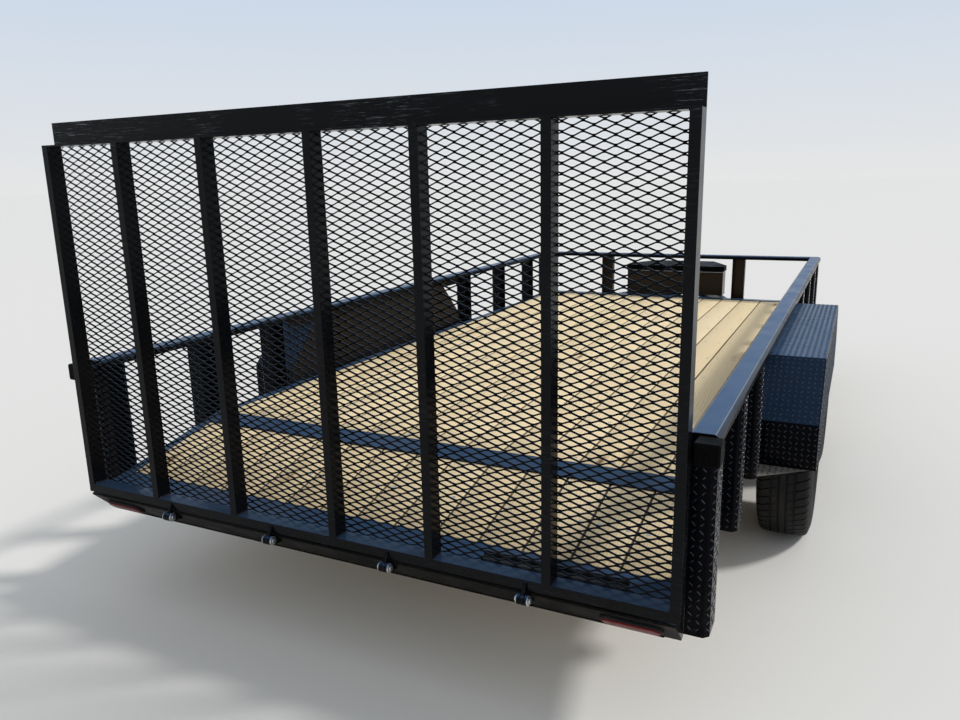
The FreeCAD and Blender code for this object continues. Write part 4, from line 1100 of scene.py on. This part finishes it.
def make_gate_fittings():
    """Latch blocks on the rails' rear ends, the stop bar on the tail, and the hinge pins' ends."""
    latches = Shape()
    middle = 1067
    half_w = 31
    boss = [(0, 9), (1.5, 9), (2.5, 7.5), (2.5, 2)]
    for side in (-1, 1):
        x = side * middle
        latches.block((x - half_w, 28, 784), (x + half_w, 90, 840), 4)
        latches.turned(spot(x, 28.5, 808), (0, -1, 0), boss, 24)
    rod = [(0, 5), (19, 5), (21, 3.4)]
    latches.turned(spot(-middle, 50, 839), (0, 0, 1), rod, 16)
    piece("gate_latch_blocks", latches, SHADED_BLACK, hides=["gate_latches"])
    bar = Shape()
    back, front = 60, 86
    shelf, lip = 423, 436
    outline = [
        (back, deck_top(back) + 0.2), (front, deck_top(front) + 0.2), (front, lip - 0.8), (front - 0.8, lip),
        (front - 3.2, lip), (front - 4, lip - 0.8), (front - 4, shelf + 1), (front - 5, shelf),
        (back + 1, shelf), (back, shelf - 1),
    ]
    bar.loft([[spot(x, y, z) for y, z in outline] for x in (475, 885)])
    piece("tail_stop_angle", bar, SATIN)
    pins = Shape()
    washer = [(0, 8.2), (0, 14), (2, 14), (2.4, 13.2), (2.4, 8.2)]
    tip = [(1, 8.05), (6.4, 8.05), (7.4, 6.8)]
    for x in HINGE_X:
        for side in (-1, 1):
            for end in (-1, 1):
                centre = spot(side * x + end * 14.5, HINGE_Y, HINGE_Z)
                pins.turned(centre, (end, 0, 0), washer, 24)
                pins.turned(centre, (end, 0, 0), tip, 20)
    piece("hinge_pin_ends", pins, ZINC)


def make_running_gear_fittings():
    """U bolts with their plates under the springs, and bolts in the spring eyes."""
    shape = Shape()
    plates = Shape()
    bend_r = 36.5
    foot_z = 266
    plate_z = 276
    spring_half = 320.5
    eye_z = AXLE_Z + 14
    eyes = [(y + end, eye_z) for y in AXLE_Y for end in (-spring_half, spring_half)]
    eyes.insert(2, (sum(AXLE_Y) / 2, eye_z + 34))
    for side in (-1, 1):
        middle = side * SPRING_X
        for y in AXLE_Y:
            for x in (middle - 28.5, middle + 28.5):
                line = [spot(x, y - bend_r, foot_z)]
                for k in range(13):
                    turn = math.pi * k / 12
                    line.append(spot(x, y - bend_r * math.cos(turn), AXLE_Z + bend_r * math.sin(turn)))
                line.append(spot(x, y + bend_r, foot_z))
                shape.tube(line, 6 * MM, 12)
                for step in (-bend_r, bend_r):
                    hex_head(shape, spot(x, y + step, plate_z), (0, 0, -1), 9.5, 10)
            plates.block((middle - 40, y - 52, plate_z), (middle + 40, y + 52, plate_z + 6.2), 1.5)
        for y, z in eyes:
            hex_head(shape, spot(middle + side * 27, y, z), (side, 0, 0), 10, 9)
            hex_head(shape, spot(middle - side * 27, y, z), (-side, 0, 0), 10, 11)
    piece("spring_bolts", shape, ZINC)
    piece("spring_plates", plates, SPRING)


def make_tongue_fittings():
    """The jack's bolts, top cap, crank pin and grip."""
    shape = Shape()
    for x in (-75, 75):
        for y in (JACK_Y - 44, JACK_Y + 44):
            hex_head(shape, spot(x, y, DECK_H + 8), (0, 0, 1), 9, 9)
    cap = [(0, 30), (2.5, 30), (5, 27.5), (6, 16), (6.2, 4)]
    shape.turned(spot(0, JACK_Y, 719.5), (0, 0, 1), cap, 32)
    nipple = [(0, 5.5), (4, 5.5), (5, 3.6), (10, 3.4), (12, 2.2)]
    shape.turned(spot(0, JACK_Y - 28, 640), (0, -1, 0), nipple, 16)
    piece("tongue_bolts", shape, ZINC)
    grip = Shape()
    profile = [(0, 12), (2, 14.5), (9, 14)]
    for k in range(5):
        rib = 16 + 11 * k
        profile += [(rib, 13), (rib + 3, 14.6), (rib + 7, 14.6)]
    profile += [(74, 14), (78, 10.5), (79.5, 4)]
    grip.turned(spot(76, JACK_Y, 542), (1, 0, 0), profile, 28)
    piece("jack_grip", grip, RUBBER)


def make_toolbox_fittings():
    """The keeper on the lid, a bare edge under it that is also a painted highlight, and the catch on the
    box's front.
    """
    keeper = Shape()
    keeper.block((-19, 5044.6, 709), (19, 5047.4, 738), 0.8)
    keeper.tube([spot(-17, 5049.2, 712), spot(17, 5049.2, 712)], 3.4 * MM, 12)
    piece("toolbox_keeper", keeper, ZINC, "toolbox_lid")
    low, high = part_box("toolbox_body")
    lid_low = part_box("toolbox_lid")[0]
    edge_z = lid_low[2] - 0.003
    # the box's sides taper in beyond this point
    side_end = low[1] + 0.117
    corners = [(low[0], side_end), (low[0], low[1]), (high[0], low[1]), (high[0], side_end)]
    corners = [Vector((x, y, edge_z)) for x, y in corners]
    # a bright strip round the box just under the lid: a bare edge, and a painted highlight of the lid's edge
    glint_strip = Shape()
    for start, end in zip(corners, corners[1:]):
        glint_strip.tube([start.lerp(end, k / 6) for k in range(7)], 1.6 * MM, 8)
    piece("toolbox_glint_edge", glint_strip, ZINC, angle=60)
    catch = Shape()
    catch.block((-22, 5036.4, 636), (22, 5039.8, 694), 0.9)
    catch.block((-15, 5039, 642), (15, 5045.5, 690), 1.6)
    rivet = [(0, 3.2), (1.2, 3), (2, 1.6)]
    for z in (648, 684):
        for x in (-18.5, 18.5):
            catch.turned(spot(x, 5039.6, z), (0, 1, 0), rivet, 14)
    piece("toolbox_catch", catch, ZINC)


# The rest of the frame


def make_frame():
    """The CAD's own shapes with rounded edges."""
    for node in ("side_frame_right", "side_frame_left", "front_header", "tongue_right", "tongue_left"):
        soften(node, BLACK, 2, 3)
    soften("tail_plate", TAIL_BLACK)
    soften("deck_strips", BLACK)
    soften("crossmembers", BLACK)
    soften("spring_hangers", BLACK, 1)
    soften("leaf_springs", SPRING, 1)
    soften("toolbox_body", BLACK_WITH_PAINTED_REFLECTION, 0.8)
    soften("toolbox_lid", SHADED_BLACK, 0.8)
    soften("coupler", SATIN)
    for node in ("jack_tube", "jack_crank", "jack_leg"):
        soften(node, ZINC, 1)
    soften("gate_frame", GATE_BLACK, 2.4, 3)
    soften("gate_hinges", BLACK, 1)
    soften("hinge_lugs", BLACK, 0.8)
    for node in ("axle_rear", "axle_front"):
        soften(node, SATIN, 1)


# Stage, light and camera


def make_floor():
    mesh = bpy.data.meshes.new("floor")
    r = 500
    mesh.from_pydata([(-r, -r, 0), (r, -r, 0), (r, r, 0), (-r, r, 0)], [], [(0, 1, 2, 3)])
    material, tree, shader, _ = new_material("floor_pale")
    finish(tree, shader, Base_Color=(0.78, 0.78, 0.77), Roughness=0.9, Specular_IOR_Level=0.1)
    mesh.materials.append(material)
    obj = new_object("floor", mesh)


def make_light():
    """Even studio light and a soft sun. The camera, gloss and glass see a plain sky."""
    world = bpy.data.worlds.new("studio")
    bpy.context.scene.world = world
    world.use_nodes = True
    tree = world.node_tree
    light = tree.nodes["Background"]
    finish(tree, light, Color=(0.93, 0.965, 1), Strength=0.62)
    up = part_of(tree, add_node(tree, "TexCoord").outputs["Generated"], "Z")
    sky = blend(tree, remap(tree, up, 0, 0.5), (0.785, 0.79, 0.79), (0.36, 0.56, 0.84))
    shown = add_node(tree, "Background", {"Color": sky, "Strength": 1})
    path = add_node(tree, "LightPath").outputs
    seen = calc(tree, "MAXIMUM", path["Is Camera Ray"], path["Is Transmission Ray"])
    seen = calc(tree, "MAXIMUM", seen, path["Is Glossy Ray"])
    mix = add_node(tree, "MixShader", {0: seen, 1: light.outputs[0], 2: shown.outputs[0]})
    tree.links.new(mix.outputs[0], tree.nodes["World Output"].inputs[0])
    sun = bpy.data.lights.new("key", "SUN")
    sun.energy = 1.9
    sun.angle = math.radians(9)
    sun.color = (1, 0.96, 0.9)
    toward = Vector((0.75, 0.45, 0.85))
    new_object("key", sun).rotation_euler = toward.to_track_quat("Z", "Y").to_euler()


def make_camera():
    """Camera at the photograph's place, as solved from the gate, rails and deck."""
    data = bpy.data.cameras.new("camera")
    data.sensor_width = 36
    data.lens = 28.76
    yaw, pitch, roll = 26.34, -12.96, -1.15
    place = Matrix.Translation((1.3392, -4.5294, 1.423))
    for degrees, axis in ((yaw, "Z"), (90 + pitch, "X"), (roll, "Z")):
        place @= Matrix.Rotation(math.radians(degrees), 4, axis)
    camera = new_object("camera", data)
    camera.matrix_world = place
    bpy.context.scene.camera = camera


make_boards()
make_deck_screws()
make_rails()
make_tread_plate()
make_gate_mesh()
make_wheels()
make_lamps()
make_welds()
make_gate_fittings()
make_running_gear_fittings()
make_tongue_fittings()
make_toolbox_fittings()
make_frame()
make_floor()
make_light()
make_camera()
bpy.context.scene.view_settings.view_transform = "Standard"
